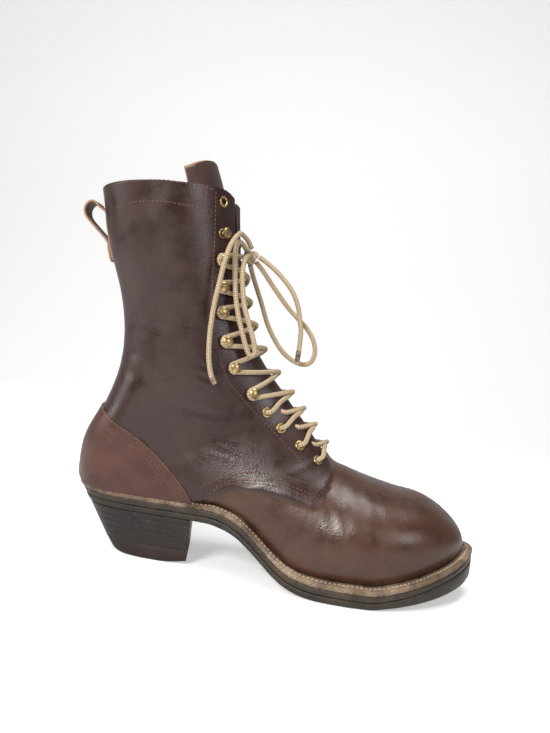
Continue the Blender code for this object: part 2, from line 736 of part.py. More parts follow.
def build_tongue(collection):
    high = -VAMP_WALL - GAP
    first = SIDE_COLUMNS - STRIP_COLUMNS - TONGUE_COLUMNS
    last = SIDE_COLUMNS + STRIP_COLUMNS + TONGUE_COLUMNS
    shell("tongue", tongue_grid(high - TONGUE), tongue_grid(high), lambda i, j: first <= j < last, collection)


def build_pull_loop(collection):
    """A strip folded into a loop, both layers lying down the back seam."""
    inner_layer = [skin(s, -1, -90, QUARTER_STEP + GAP + 0.5 * LOOP_THICK) for s in (1.28, 1.05, 0.8, 0.55, 0.36)]
    outer_layer = [skin(s, -1, -90, QUARTER_STEP + 2 * GAP + 1.5 * LOOP_THICK) for s in (0.9, 1.05, 1.28)]
    path = [(p[0], p[2], 1.0) for p in inner_layer]
    path += [(x, z, 0.0) for x, z in LOOP_ARC]
    path += [(p[0], p[2], 1.0) for p in outer_layer]
    path = np.array(path)
    tangent = np.gradient(path[:, :2], axis=0)
    tangent /= np.linalg.norm(tangent, axis=1)[:, None]
    normal = np.stack([-tangent[:, 1], tangent[:, 0]], 1)
    loops = []
    for (x, z, follow), (nx, nz) in zip(path, normal):
        ring = []
        for side, span in ((1, (-1, 0, 1)), (-1, (1, 0, -1))):
            for y in span:
                ring.append((x + side * nx * 0.5 * LOOP_THICK + follow * LOOP_FALL * abs(y),
                             y * 0.5 * LOOP_WIDTH, z + side * nz * 0.5 * LOOP_THICK))
        loops.append(ring)
    skewer("pull_loop", loops, collection)


def skewer(name, loops, collection):
    """Closed solid through equal rings of points, with flat ends."""
    count = len(loops[0])
    verts = [p for ring in loops for p in ring]
    faces = [list(range(count)), [len(verts) - 1 - k for k in range(count)]]
    for a in range(len(loops) - 1):
        for k in range(count):
            n = (k + 1) % count
            faces.append([a * count + k, a * count + n, (a + 1) * count + n, (a + 1) * count + k])
    return new_mesh_object(name, verts, faces, collection)


def rod(name, points, radius, sides, collection, twist=0.0):
    """Round rod along a short route, its flats turned by twist."""
    points = np.array(points, float)
    tangents = np.gradient(points, axis=0)
    across = np.cross(tangents[0], (0.31, 0.12, 0.94))
    loops = []
    for point, tangent in zip(points, tangents):
        tangent = tangent / np.linalg.norm(tangent)
        across = across - tangent * np.dot(across, tangent)
        across /= np.linalg.norm(across)
        up = np.cross(tangent, across)
        turns = [2 * math.pi * k / sides + twist for k in range(sides)]
        loops.append([point + radius * (math.cos(t) * across + math.sin(t) * up) for t in turns])
    return skewer(name, loops, collection)


def angle_behind(s, side, distance):
    """Angle of the place that lies this far behind the facing's front edge."""
    edge = skin_point(s, side, slot_angle(s, side))
    low, high = 0.0, slot_angle(s, side)
    for _ in range(30):
        middle = 0.5 * (low + high)
        if np.linalg.norm(skin_point(s, side, middle) - edge) > distance:
            low = middle
        else:
            high = middle
    return 0.5 * (low + high)


def seat_frame(tree, s, side, distance, radius):
    """Axis frame of a fitting on the facing, lifted until its whole foot is clear of the leather."""
    angle = angle_behind(s, side, distance)
    point = Vector(skin(s, side, angle, QUARTER_STEP)) * MM
    normal = Vector(skin_normal(s, side, angle))
    across = normal.orthogonal().normalized()
    other = normal.cross(across)
    lift = 0.0
    for k in range(9):
        turn = 2 * math.pi * k / 8
        reach = 0.0 if k == 8 else radius * MM
        start = point + (across * math.cos(turn) + other * math.sin(turn)) * reach + normal * 8 * MM
        hit = tree.ray_cast(start, -normal)[0]
        if hit is not None:
            lift = max(lift, (hit - point).dot(normal) / MM)
    turn = Matrix((across, other, normal)).transposed().to_4x4()
    return Matrix.Translation(point + normal * (lift + GAP) * MM) @ turn


def turned(name, profile, closed, frame, steps, collection):
    mesh = bpy.data.meshes.new(name)
    count = len(profile)
    edges = [(k, k + 1) for k in range(count - 1)]
    if closed:
        edges.append((count - 1, 0))
    mesh.from_pydata([(r * MM, 0.0, z * MM) for r, z in profile], edges, [])
    obj = bpy.data.objects.new(name, mesh)
    collection.objects.link(obj)
    screw = obj.modifiers.new("turn", "SCREW")
    screw.axis = "Z"
    screw.angle = 2 * math.pi
    screw.steps = steps
    screw.render_steps = steps
    screw.use_merge_vertices = True
    screw.merge_threshold = 0.00001
    screw.use_normal_calculate = True
    screw.use_normal_flip = closed
    obj.matrix_world = frame
    return obj


def build_fittings(upper, collection, cutters):
    tree = BVHTree.FromObject(upper, bpy.context.evaluated_depsgraph_get())
    for label, side in SIDES:
        for name, s, distance in FITTINGS:
            base, _, number = name.partition("_")
            full = "%s_%s_%s" % (base, label, number)
            frame = seat_frame(tree, s, side, distance, 4.0)
            if base == "hook":
                turned(full, HOOK_PROFILE, False, frame, 8, collection)
                continue
            turned(full, EYELET_PROFILE, True, frame, 8, collection)
            bpy.ops.mesh.primitive_cylinder_add(vertices=10, radius=HOLE_R * MM, depth=12 * MM)
            hole = bpy.context.object
            hole.name = "hole_" + full
            hole.matrix_world = frame
            for other in list(hole.users_collection):
                other.objects.unlink(hole)
            cutters.objects.link(hole)
            apply_boolean(upper, hole, "DIFFERENCE", "MANIFOLD")


def crossing_route(low, high, side, ridge_height):
    """Centreline from the lower fitting of one side, over the tongue, to the higher fitting of the other."""
    s0, s1 = low[1], high[1]
    s_edge0 = s0 + 0.3 * (s1 - s0)
    s_edge1 = s0 + 0.7 * (s1 - s0)
    points = [
        skin(s0, side, angle_behind(s0, side, low[2]), LACE_AT_FITTING),
        skin(s_edge0, side, slot_angle(s_edge0, side), LACE_AT_EDGE),
        0.5 * (skin(0.5 * (s0 + s1), -1, 88, ridge_height) + skin(0.5 * (s0 + s1), 1, 88, ridge_height)),
        skin(s_edge1, -side, slot_angle(s_edge1, -side), LACE_AT_EDGE),
        skin(s1, -side, angle_behind(s1, -side, high[2]), LACE_AT_FITTING),
    ]
    for end, near in ((0, 1), (-1, -2)):
        step = points[near] - points[end]
        points[end] = points[end] + step * LACE_STOP / np.linalg.norm(step)
    return points


def build_crossings(collection, cutters):
    """One joined pair of strands between each two neighbouring levels of fittings that hold the lace."""
    levels = FITTINGS[2:][::-1]
    for k, (low, high) in enumerate(zip(levels, levels[1:])):
        name = "lace_cross_%d" % (k + 1)
        one = rod(name, crossing_route(low, high, -1, LACE_AT_RIDGE), LACE_R, 6, collection)
        over = crossing_route(low, high, 1, LACE_AT_RIDGE + LACE_OVERLAP)
        two = rod(name + "_other", over, LACE_R, 6, cutters, 0.37)
        apply_boolean(one, two, "UNION", "MANIFOLD")


def cord(name, points, collection):
    curve = bpy.data.curves.new(name, "CURVE")
    curve.dimensions = "3D"
    curve.bevel_depth = LACE_R * MM
    curve.bevel_resolution = 2
    curve.use_fill_caps = True
    spline = curve.splines.new("POLY")
    spline.points.add(len(points) - 1)
    for target, point in zip(spline.points, points):
        target.co = (point[0] * MM, point[1] * MM, point[2] * MM, 1.0)
    obj = bpy.data.objects.new(name, curve)
    collection.objects.link(obj)
    return obj


def build_lace_bow(collection):
    """The knot and what hangs from it, and the two strands that rise to it from the second hooks."""
    bpy.ops.mesh.primitive_uv_sphere_add(segments=10, ring_count=6, radius=MM)
    knot = bpy.context.object
    knot.name = "lace_knot"
    for vertex in knot.data.vertices:
        vertex.co = [c * h for c, h in zip(vertex.co, KNOT_HALF)]
    knot.location = [c * MM for c in KNOT]
    for other in list(knot.users_collection):
        other.objects.unlink(knot)
    collection.objects.link(knot)
    cord("lace_end_lateral", LACE_END_LATERAL, collection)
    cord("lace_loop_lateral", LACE_LOOP_LATERAL, collection)
    cord("lace_loop_medial", LACE_LOOP_MEDIAL, collection)
    cord("lace_end_medial", LACE_END_MEDIAL, collection)
    for label, side, out in (("lateral", -1, (-0.85, -0.45, -0.3)), ("medial", 1, (-0.8, 0.58, -0.12))):
        name, s, distance = FITTINGS[2]
        start = skin(s, side, angle_behind(s, side, distance), LACE_AT_FITTING)
        edge = skin(s - 0.12, side, slot_angle(s - 0.12, side), LACE_AT_EDGE + 0.4)
        start = start + (edge - start) * LACE_STOP / np.linalg.norm(edge - start)
        end = np.array(KNOT) + KNOT_CLEAR * np.array(out) / np.linalg.norm(out)
        cord("lace_rise_" + label, [start, edge, 0.5 * (edge + end) + (0.6, 0.0, 0.0), end], collection)


# Materials: colour, roughness, metallic
MATERIALS = {
    "sole_rubber": ((0.030, 0.026, 0.020), 0.62, 0.0),
    "sole_leather": ((0.050, 0.034, 0.022), 0.55, 0.0),
    "welt_leather": ((0.300, 0.190, 0.105), 0.80, 0.0),
    "heel_leather": ((0.036, 0.025, 0.018), 0.50, 0.0),
    "insole_leather": ((0.420, 0.280, 0.170), 0.75, 0.0),
    "upper_leather": ((0.095, 0.036, 0.026), 0.42, 0.0),
    "counter_leather": ((0.130, 0.045, 0.028), 0.42, 0.0),
    "tongue_leather": ((0.120, 0.060, 0.035), 0.55, 0.0),
    "loop_leather": ((0.100, 0.045, 0.028), 0.50, 0.0),
    "aged_brass": ((0.300, 0.210, 0.110), 0.38, 1.0),
    "lace_cord": ((0.560, 0.450, 0.320), 0.85, 0.0),
}
# First part of a name: material, edge angle under which the piece is shaded smooth
FINISH = {
    "outsole": ("sole_rubber", 40), "midsole": ("sole_leather", 40), "welt": ("welt_leather", 40),
    "heel": ("heel_leather", 40), "insole": ("insole_leather", 40), "upper": ("upper_leather", 50),
    "counter": ("counter_leather", 50), "tongue": ("tongue_leather", 50), "pull": ("loop_leather", 50),
    "eyelet": ("aged_brass", 50), "hook": ("aged_brass", 50), "lace": ("lace_cord", 80),
}


def finish(collection):
    made = {}
    for name, (colour, roughness, metallic) in MATERIALS.items():
        material = bpy.data.materials.new(name)
        material.use_nodes = True
        shader = material.node_tree.nodes["Principled BSDF"]
        shader.inputs["Base Color"].default_value = (*colour, 1.0)
        shader.inputs["Roughness"].default_value = roughness
        shader.inputs["Metallic"].default_value = metallic
        material.diffuse_color = (*colour, 1.0)
        made[name] = material
    for obj in collection.objects:
        material, angle = FINISH[obj.name.split("_")[0]]
        obj.data.materials.clear()
        obj.data.materials.append(made[material])
        if obj.type == "MESH" and obj.data.polygons:
            obj.data.shade_smooth()
            obj.data.set_sharp_from_angle(angle=math.radians(angle))


def main():
    for obj in list(bpy.data.objects):
        bpy.data.objects.remove(obj)
    parts = bpy.data.collections.new("logger_boot")
    cutters = bpy.data.collections.new("cutters")
    bpy.context.scene.collection.children.link(parts)
    bpy.context.scene.collection.children.link(cutters)
    build_sole(parts)
    build_heel(parts)
    upper = build_upper(parts, cutters)
    build_counter(parts, cutters)
    build_tongue(parts)
    build_pull_loop(parts)
    build_fittings(upper, parts, cutters)
    build_crossings(parts, cutters)
    build_lace_bow(parts)
    finish(parts)
    for obj in cutters.objects:
        obj.hide_render = True
        obj.display_type = "WIRE"


main()
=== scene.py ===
"""Scene of the logger boot: the frame's solids dressed in fine meshes and procedural materials.

Sizes in the tables are in millimetres. They are brought to metres when a mesh is made.
"""
import functools
import math

import bmesh
import bpy
import numpy as np
from mathutils import Matrix, Vector
from mathutils.bvhtree import BVHTree
from mathutils.kdtree import KDTree


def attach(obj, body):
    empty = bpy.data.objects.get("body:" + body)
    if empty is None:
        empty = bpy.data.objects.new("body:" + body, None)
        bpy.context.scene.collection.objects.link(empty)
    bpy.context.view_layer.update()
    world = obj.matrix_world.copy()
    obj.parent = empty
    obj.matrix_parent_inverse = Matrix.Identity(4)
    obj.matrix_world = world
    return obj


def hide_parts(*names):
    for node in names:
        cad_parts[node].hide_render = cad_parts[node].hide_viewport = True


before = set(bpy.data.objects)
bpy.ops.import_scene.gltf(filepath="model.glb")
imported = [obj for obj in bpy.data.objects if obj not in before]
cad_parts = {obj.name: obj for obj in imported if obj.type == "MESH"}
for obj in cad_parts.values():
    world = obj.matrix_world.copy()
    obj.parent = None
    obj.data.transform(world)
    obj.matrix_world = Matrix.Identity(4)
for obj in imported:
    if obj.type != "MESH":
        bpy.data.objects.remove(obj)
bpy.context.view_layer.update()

MM = 0.001
GAP = 0.3
# Points closer than this are one, in metres
WELD = 1e-6

# Thicknesses
OUTSOLE = 4.7
MIDSOLE = 4.2
WELT = 3.5
SOLE_STACK = OUTSOLE + MIDSOLE + WELT + 2 * GAP
INSOLE_RISE = 3.0
EDGE_EASE = 0.4
VAMP_WALL = 1.7
QUARTER_STEP = 1.3
COUNTER = 1.3
TONGUE = 2.0
LACE_R = 1.85

# Heel
BREAST_X = 37.0
HEEL_TOP_Z = 35.3
SEAT_Z = 48.6
LIFTS = 5
CAP_TOP_Z = 11.0
BASE_BACK_X = -27.5
BASE_HALF = 26.0
BASE_FROM_HALF = 36.4
BREAST_SKEW = 10.0
FLAT_FROM_X = -12.0
FLAT_TO_X = 16.0
CAP_REAR_RISE = 1.6
CAP_BREAST_RISE = 3.2

# Underside of the outsole along the boot: x, z
SOLE_RUN = [
    (-70, 35.6), (38, 35.6), (50, 36), (60, 34.3), (70, 30.9), (80, 24.8), (90, 17.4), (100, 9.9),
    (110, 4.3), (122, 1), (134, 0), (168, 0), (182, 1.9), (198, 4.6), (214, 7.9), (230, 11.6), (252, 15.8),
]

# Extra thickness of the outsole toward the toe, where the tread is less worn: x, thickness
TOE_EXTRA = [(-70, 0), (172, 0), (190, 1.1), (208, 3.2), (226, 5.4), (243, 7.2), (252, 7.6)]

# Outline of the sole seen from above: x, outer side y, inner side y
OUTLINE = [
    (-57, 0, 0), (-53, -15.5, 15.5), (-42, -27, 27), (-24, -33.6, 33.6), (-3, -36, 35.8),
    (18, -36.6, 34.6), (38, -37.2, 32.6), (60, -39.8, 31.4), (84, -45.6, 34.2), (108, -52.4, 41),
    (132, -57.2, 48.4), (155, -58.8, 53.2), (178, -56.4, 55.4), (198, -50.2, 54.4), (216, -40.6, 49.6),
    (231, -27.6, 41), (242, -10.5, 28), (248, 9, 9),
]

# Width of the welt outside the upper: x, width
WELT_WIDTH = [(-70, 3.4), (20, 3.6), (44, 5), (66, 6.8), (92, 8.4), (120, 9), (200, 9.2), (250, 8.4)]

# Sections of the upper, collar to toe. back_z of None sits on the welt.
# back_x, back_z, ridge_x, ridge_z, ridge_y, outer half, inner half, belly, top power, slot half
SECTIONS = [
    ("collar", -63.2, 267.5, 38, 275.5, 0, 48, 48, 0.48, 2, 15),
    ("shaft", -53.4, 228, 43.4, 240, 0, 44, 44, 0.48, 2, 15),
    ("low_shaft", -41.2, 194, 49.8, 206, 0, 39.5, 39.5, 0.46, 2, 15),
    ("ankle", -35.2, 165, 57.5, 183, 0.5, 36.5, 37, 0.42, 2.1, 17.5),
    ("ankle_bone", -35.8, 137, 67.5, 164, 1, 35.5, 37, 0.36, 2.2, 18.5),
    ("heel_top", -43.6, 109, 79, 148.5, 1.5, 34.5, 36, 0.29, 2.3, 17),
    ("heel_bulge", -54.2, 84, 89.5, 137, 2, 33.5, 35, 0.24, 2.4, 14.8),
    ("heel_low", -56.6, 63, 97.5, 128, 2, 33, 34, 0.21, 2.4, 13.5),
    ("seat_back", -53.6, None, 104.5, 120.5, 2, 32.5, 33, 0.20, 2.4, 12.8),
    ("seat", -34, None, 111, 113.5, 2.5, 32.8, 33, 0.22, 2.4, 12.5),
    ("breast", 8, None, 119, 104, 3, 34.2, 33, 0.25, 2.3, 12.2),
    ("waist", 44, None, 127, 94.5, 3.5, 36.5, 32.6, 0.30, 2.2, 12),
    ("instep", 75, None, 134.5, 87, 4, 40.5, 35, 0.33, 2.1, 12),
    ("ball_back", 106, None, 146, 83, 4, 47, 41, 0.30, 2.2, 12),
    ("ball", 138, None, 163, 78.2, 4, 52.4, 47.4, 0.27, 2.4, 11),
    ("ball_front", 168, None, 183, 73.8, 5, 51.4, 49.8, 0.27, 2.5, 9),
    ("toe_box", 198, None, 204, 70.2, 6.5, 43.6, 48.2, 0.27, 2.5, 8),
    ("toe", 220, None, 221.5, 61.6, 8, 30, 40.6, 0.30, 2.4, 6),
    ("nose", 233.5, None, 235.2, 49, 9, 13, 28, 0.40, 2.3, 3),
    ("tip", 239.6, None, 239.8, None, 9, -9, 9, 0.5, 2, 0),
]
ROW = {row[0]: index for index, row in enumerate(SECTIONS)}
LOW_COLUMNS = 14
FACE_COLUMNS = 36
STRIP_COLUMNS = 8


def smooth_table(table, x):
    """Monotone cubic through the rows of an x, y table."""
    xs = np.array([row[0] for row in table], float)
    ys = np.array([row[1] for row in table], float)
    h = np.diff(xs)
    d = np.diff(ys) / h
    slope = np.zeros(len(xs))
    for i in range(1, len(xs) - 1):
        if d[i - 1] * d[i] > 0:
            a = 2 * h[i] + h[i - 1]
            b = h[i] + 2 * h[i - 1]
            slope[i] = (a + b) / (a / d[i - 1] + b / d[i])
    slope[0] = d[0]
    slope[-1] = d[-1]
    x = min(max(x, xs[0]), xs[-1])
    i = min(int(np.searchsorted(xs, x, side="right")) - 1, len(h) - 1)
    t = (x - xs[i]) / h[i]
    a = (1 + 2 * t) * (1 - t) ** 2
    b = t * (1 - t) ** 2
    c = t * t * (3 - 2 * t)
    e = t * t * (t - 1)
    return float(a * ys[i] + b * h[i] * slope[i] + c * ys[i + 1] + e * h[i] * slope[i + 1])


def sole_z(x):
    return smooth_table(SOLE_RUN, x)


def seat_z(x):
    """Top of the welt, where the upper stands."""
    return sole_z(x) + SOLE_STACK + smooth_table(TOE_EXTRA, x)


def edge_z(x):
    """Lower edge of the upper: the welt's top and a gap, with the sagitta of one row added on a crest."""
    crest = seat_z(x) - 0.5 * (seat_z(x - 7) + seat_z(x + 7))
    return seat_z(x) + GAP + EDGE_EASE + max(0.0, crest)


def catmull(p0, p1, p2, p3, t):
    return 0.5 * (2 * p1 + (p2 - p0) * t + (2 * p0 - 5 * p1 + 4 * p2 - p3) * t * t
                  + (3 * p1 - p0 - 3 * p2 + p3) * t ** 3)


def outline_sides(per_row):
    """Outer and inner half curves of the sole, heel to toe, each n x 2."""
    outer = np.array([(x, a) for x, a, b in OUTLINE], float)
    inner = np.array([(x, b) for x, a, b in OUTLINE], float)
    halves = []
    for here, other in ((outer, inner), (inner, outer)):
        rows = np.vstack([other[1], here, other[-2]])
        points = []
        for i in range(len(here) - 1):
            for k in range(per_row):
                points.append(catmull(rows[i], rows[i + 1], rows[i + 2], rows[i + 3], k / per_row))
        points.append(here[-1])
        halves.append(np.array(points))
    return halves


def inset_sides(halves, width):
    """Move both half curves inward by width(x), measured square to the edge."""
    result = []
    for half, sign in zip(halves, (-1.0, 1.0)):
        tangent = np.gradient(half, axis=0)
        tangent[0] = (0.0, sign)
        tangent[-1] = (0.0, -sign)
        tangent /= np.linalg.norm(tangent, axis=1)[:, None]
        normal = np.stack([-tangent[:, 1], tangent[:, 0]], 1) * sign
        widths = np.array([width(x) for x in half[:, 0]])
        result.append(half - normal * widths[:, None])
    return result


def welt_width(x):
    return smooth_table(WELT_WIDTH, x)


FEATHER = inset_sides(outline_sides(8), welt_width)


def feather_half(x, side):
    """Signed y of the upper's lower edge at x, side -1 outer and +1 inner."""
    half = FEATHER[0] if side < 0 else FEATHER[1]
    return float(np.interp(x, half[:, 0], half[:, 1]))


@functools.lru_cache(maxsize=4096)
def section_values(s):
    """Section columns at a real-valued row number, by a smooth curve through the rows."""
    table = []
    for row in SECTIONS:
        values = list(row[1:])
        if values[1] is None:
            values[1] = edge_z(values[0])
        if values[3] is None:
            values[3] = edge_z(values[2]) + 0.4
        table.append(values)
    table = np.array(table, float)
    last = len(table) - 1
    s = min(max(s, 0.0), last)
    i = min(int(s), last - 1)
    before = table[i - 1] if i > 0 else 2 * table[0] - table[1]
    after = table[i + 2] if i + 2 <= last else 2 * table[last] - table[last - 1]
    values = catmull(before, table[i], table[i + 1], after, s - i)
    if s >= ROW["seat_back"]:
        values[1] = edge_z(values[0])
    return values


def skin_point(s, side, angle):
    """Point of the upper's skin: angle -90 at the back or welt, 0 at the widest place, 90 on the ridge."""
    bx, bz, rx, rz, ry, outer, inner, belly, power, slot = section_values(s)
    wide = -outer if side < 0 else inner
    start = 0.0
    if s > ROW["seat_back"]:
        start = feather_half(bx, side)
        if side * (wide - start) < 0.3:
            wide = start + side * 0.3
    a = math.radians(angle)
    if angle <= 0:
        c = belly * (1 - math.cos(a + math.pi / 2))
        y = start + (wide - start) * math.sin(a + math.pi / 2)
    else:
        c = belly + (1 - belly) * math.sin(a) ** (2 / power)
        y = ry + (wide - ry) * math.cos(a)
    return np.array([bx + (rx - bx) * c, y, bz + (rz - bz) * c])


def slot_angle(s, side):
    """Angle at which the facing's front edge lies."""
    values = section_values(s)
    wide = values[5] + values[4] if side < 0 else values[6] - values[4]
    return math.degrees(math.acos(min(0.85, values[9] / max(wide, 0.5))))


def skin_normal(s, side, angle):
    ds = 0.05
    low = max(s - ds, 0.0)
    high = min(s + ds, len(SECTIONS) - 1.0)
    along = skin_point(high, side, angle) - skin_point(low, side, angle)
    if angle > 87:
        top = skin_point(s, side, 87)
        across = skin_point(s, -side, 87) - top
    else:
        across = skin_point(s, side, angle + 2) - skin_point(s, side, angle - 2 if angle > -88 else angle)
    normal = np.cross(along, across)
    if side > 0:
        normal = -normal
    length = np.linalg.norm(normal)
    return normal / length if length > 1e-9 else np.array([1.0, 0.0, 0.0])


def skin(s, side, angle, height):
    return skin_point(s, side, angle) + skin_normal(s, side, angle) * height


def column_angles(s, side):
    edge = slot_angle(s, side)
    low = [-90 + 90 * k / LOW_COLUMNS for k in range(LOW_COLUMNS)]
    face = [edge * k / FACE_COLUMNS for k in range(FACE_COLUMNS)]
    strip = [edge + (90 - edge) * k / STRIP_COLUMNS for k in range(STRIP_COLUMNS + 1)]
    return low + face + strip


STEPS = 9
ROWS = []
for index, section in enumerate(SECTIONS[:-1]):
    ROWS += [index + k / STEPS for k in range(STEPS)]
ROWS.append(len(SECTIONS) - 1.0)
SIDE_COLUMNS = LOW_COLUMNS + FACE_COLUMNS + STRIP_COLUMNS
COLUMNS = 2 * SIDE_COLUMNS + 1


def skin_grid(rows):
    """Points of the whole skin, one row for each section, outer side first."""
    grid = []
    for s in rows:
        outer = [skin_point(s, -1, a) for a in column_angles(s, -1)]
        inner = [skin_point(s, 1, a) for a in column_angles(s, 1)]
        grid.append(outer + inner[::-1][1:])
    grid = np.array(grid)
    grid[-1] = grid[-1, 0]
    return grid


def grid_normals(grid, rows):
    """Vertex normals from the faces round each point, with the seam at the heel joined."""
    n, m = grid.shape[:2]
    face = np.cross(grid[1:, 1:] - grid[:-1, :-1], grid[1:, :-1] - grid[:-1, 1:])
    normal = np.zeros_like(grid)
    for a, b in ((0, 0), (0, 1), (1, 1), (1, 0)):
        normal[a:n - 1 + a, b:m - 1 + b] += face
    closed = np.array(rows) <= ROW["seat_back"]
    seam = normal[closed, 0] + normal[closed, -1]
    for column in (0, -1):
        normal[closed, column] = seam
        normal[~closed, column, 2] = 0.0
    normal[0, :, 2] = 0.0
    normal[-1] = (1.0, 0.0, 0.0)
    normal /= np.maximum(np.linalg.norm(normal, axis=2, keepdims=True), 1e-12)
    if np.sum(normal[2, 5] * (grid[2, 5] - grid.mean(axis=(0, 1)))) < 0:
        normal = -normal
        normal[-1] = (1.0, 0.0, 0.0)
    return normal


GRID = skin_grid(ROWS)
NORMALS = grid_normals(GRID, ROWS)


def offset_grid(height):
    """The skin moved out by height, with its lower edge on the welt."""
    moved = GRID + NORMALS * height
    for i, s in enumerate(ROWS):
        if s > ROW["seat_back"]:
            for j in (0, COLUMNS - 1):
                moved[i, j, 2] = edge_z(moved[i, j, 0])
    seat = ROWS.index(ROW["seat_back"])
    for j in (0, COLUMNS - 1):
        moved[seat, j, 2] = edge_z(moved[seat, j, 0])
    moved[-1, :, 2] = edge_z(moved[-1, 0, 0])
    return moved


def link_object(name, data):
    obj = bpy.data.objects.new(name, data)
    bpy.context.scene.collection.objects.link(obj)
    return obj


def mesh_object(name, bm):
    mesh = bpy.data.meshes.new(name)
    bm.to_mesh(mesh)
    bm.free()
    return link_object(name, mesh)


def new_mesh_object(name, verts, faces, walls=None):
    """Mesh object in metres; faces from number walls on take the second material."""
    bm = bmesh.new()
    points = [bm.verts.new([float(v) * MM for v in p]) for p in verts]
    for number, face in enumerate(faces):
        made = bm.faces.new([points[k] for k in face])
        made.smooth = True
        if walls is not None and number >= walls:
            made.material_index = 1
    bmesh.ops.remove_doubles(bm, verts=bm.verts, dist=WELD)
    bmesh.ops.dissolve_degenerate(bm, dist=WELD, edges=bm.edges)
    loose = [v for v in bm.verts if not v.link_faces]
    bmesh.ops.delete(bm, geom=loose, context="VERTS")
    bmesh.ops.recalc_face_normals(bm, faces=bm.faces)
    return mesh_object(name, bm)


def shell(name, inner, outer, keep):
    """Closed shell between two grids of points, over the cells for which keep(i, j) holds."""
    n, m = inner.shape[:2]
    flat_in = inner.reshape(-1, 3)
    flat_out = outer.reshape(-1, 3)
    verts = np.vstack([flat_in, flat_out])
    half = n * m
    marks = np.round(np.hstack([flat_in, flat_out]), 4)
    same = {}
    key = [same.setdefault(tuple(mark), k) for k, mark in enumerate(marks)]
    faces = []
    edges = {}
    for i in range(n - 1):
        for j in range(m - 1):
            if not keep(i, j):
                continue
            ring = []
            for p, q in ((i, j), (i, j + 1), (i + 1, j + 1), (i + 1, j)):
                k = key[p * m + q]
                if k not in ring:
                    ring.append(k)
            if len(ring) < 3:
                continue
            faces.append([k + half for k in ring])
            faces.append(ring[::-1])
            for a, b in zip(ring, ring[1:] + ring[:1]):
                edges.setdefault(frozenset((a, b)), []).append((a, b))
    walls = len(faces)
    for pairs in edges.values():
        if len(pairs) == 1:
            a, b = pairs[0]
            faces.append([b + half, a + half, a, b])
    return new_mesh_object(name, verts, faces, walls=walls)


def strip_cell(i, j):
    """Cells of the strip between the facings."""
    return SIDE_COLUMNS - STRIP_COLUMNS <= j < SIDE_COLUMNS + STRIP_COLUMNS


def upper_cell(i, j):
    return not (strip_cell(i, j) and ROWS[i] < ROW["waist"])


def slab(name, levels):
    """Closed slab through levels, bottom to top; each level is two half curves of equal length."""
    verts = []
    start = []
    count = len(levels[0][0])
    for outer, inner in levels:
        start.append((len(verts), len(verts) + count))
        verts.extend(outer)
        verts.extend(inner)
    faces = []
    for level, flip in ((0, False), (len(levels) - 1, True)):
        o, n = start[level]
        for k in range(count - 1):
            quad = [o + k, o + k + 1, n + k + 1, n + k]
            faces.append(quad[::-1] if flip else quad)
    for (o0, n0), (o1, n1) in zip(start, start[1:]):
        for k in range(count - 1):
            faces.append([o0 + k, o1 + k, o1 + k + 1, o0 + k + 1])
            faces.append([n0 + k, n0 + k + 1, n1 + k + 1, n1 + k])
        for k in (0, count - 1):
            if np.linalg.norm(levels[0][0][k] - levels[0][1][k]) > 1e-6:
                faces.append([o0 + k, n0 + k, n1 + k, o1 + k])
    keep = []
    for face in faces:
        spots = {tuple(np.round(verts[k], 5)) for k in face}
        if len(spots) >= 3:
            keep.append(face)
    return new_mesh_object(name, verts, keep)


def lift_sides(halves, z_of):
    """Give flat half curves their heights."""
    return [np.array([(x, y, z_of(x)) for x, y in half]) for half in halves]


EDGE = outline_sides(10)


def rake(halves, depth):
    """Draw the heel end of two half curves in, as the raked heel does at this depth below the seat."""
    share = depth / SEAT_Z
    result = []
    for half in halves:
        x = half[:, 0]
        pull_x = share * (1 - (BREAST_X - BASE_BACK_X) / (BREAST_X - OUTLINE[0][0]))
        pull_y = share * (1 - BASE_HALF / BASE_FROM_HALF) * np.clip((BREAST_X + 16 - x) / 16.0, 0, 1)
        moved = half.copy()
        moved[:, 0] = np.where(x < BREAST_X, BREAST_X - (BREAST_X - x) * (1 - pull_x), x)
        moved[:, 1] = half[:, 1] * (1 - pull_y)
        result.append(moved)
    return result


def layer_z(x, rise, extra=1.0):
    return sole_z(x) + rise + extra * smooth_table(TOE_EXTRA, x)


def sole_level(inset, rise, extra=1.0):
    flat = rake(inset_sides(EDGE, lambda x: inset), SOLE_STACK - rise)
    return lift_sides(flat, lambda x: layer_z(x, rise, extra))


def inner_level(inset, rise):
    """Half curves at the welt's inner edge, this far inside the upper's face."""
    flat = inset_sides(EDGE, lambda x: welt_width(x) + VAMP_WALL + inset)
    return lift_sides(flat, lambda x: layer_z(x, rise))


def loop_of(halves):
    outer, inner = halves
    return np.vstack([outer, inner[::-1][1:-1]])


def band(a, b, count):
    """Faces between two closed rings of count points that start at a and at b."""
    return [[a + k, a + (k + 1) % count, b + (k + 1) % count, b + k] for k in range(count)]


def tube(name, loops):
    """Closed solid whose cross-section runs once round through the given loops."""
    count = len(loops[0])
    faces = []
    for a in range(len(loops)):
        faces += band(a * count, (a + 1) % len(loops) * count, count)
    return new_mesh_object(name, np.vstack(loops), faces)


def skewer(name, loops):
    """Closed solid through equal rings of points, with flat ends."""
    count = len(loops[0])
    verts = [p for ring in loops for p in ring]
    faces = [list(range(count)), [len(verts) - 1 - k for k in range(count)]]
    for a in range(len(loops) - 1):
        faces += band(a * count, (a + 1) * count, count)
    return new_mesh_object(name, verts, faces)


def prism(name, outline, half_width):
    """Side outline in x and z drawn out along y."""
    return skewer(name, [[(x, y, z) for x, z in outline] for y in (-half_width, half_width)])


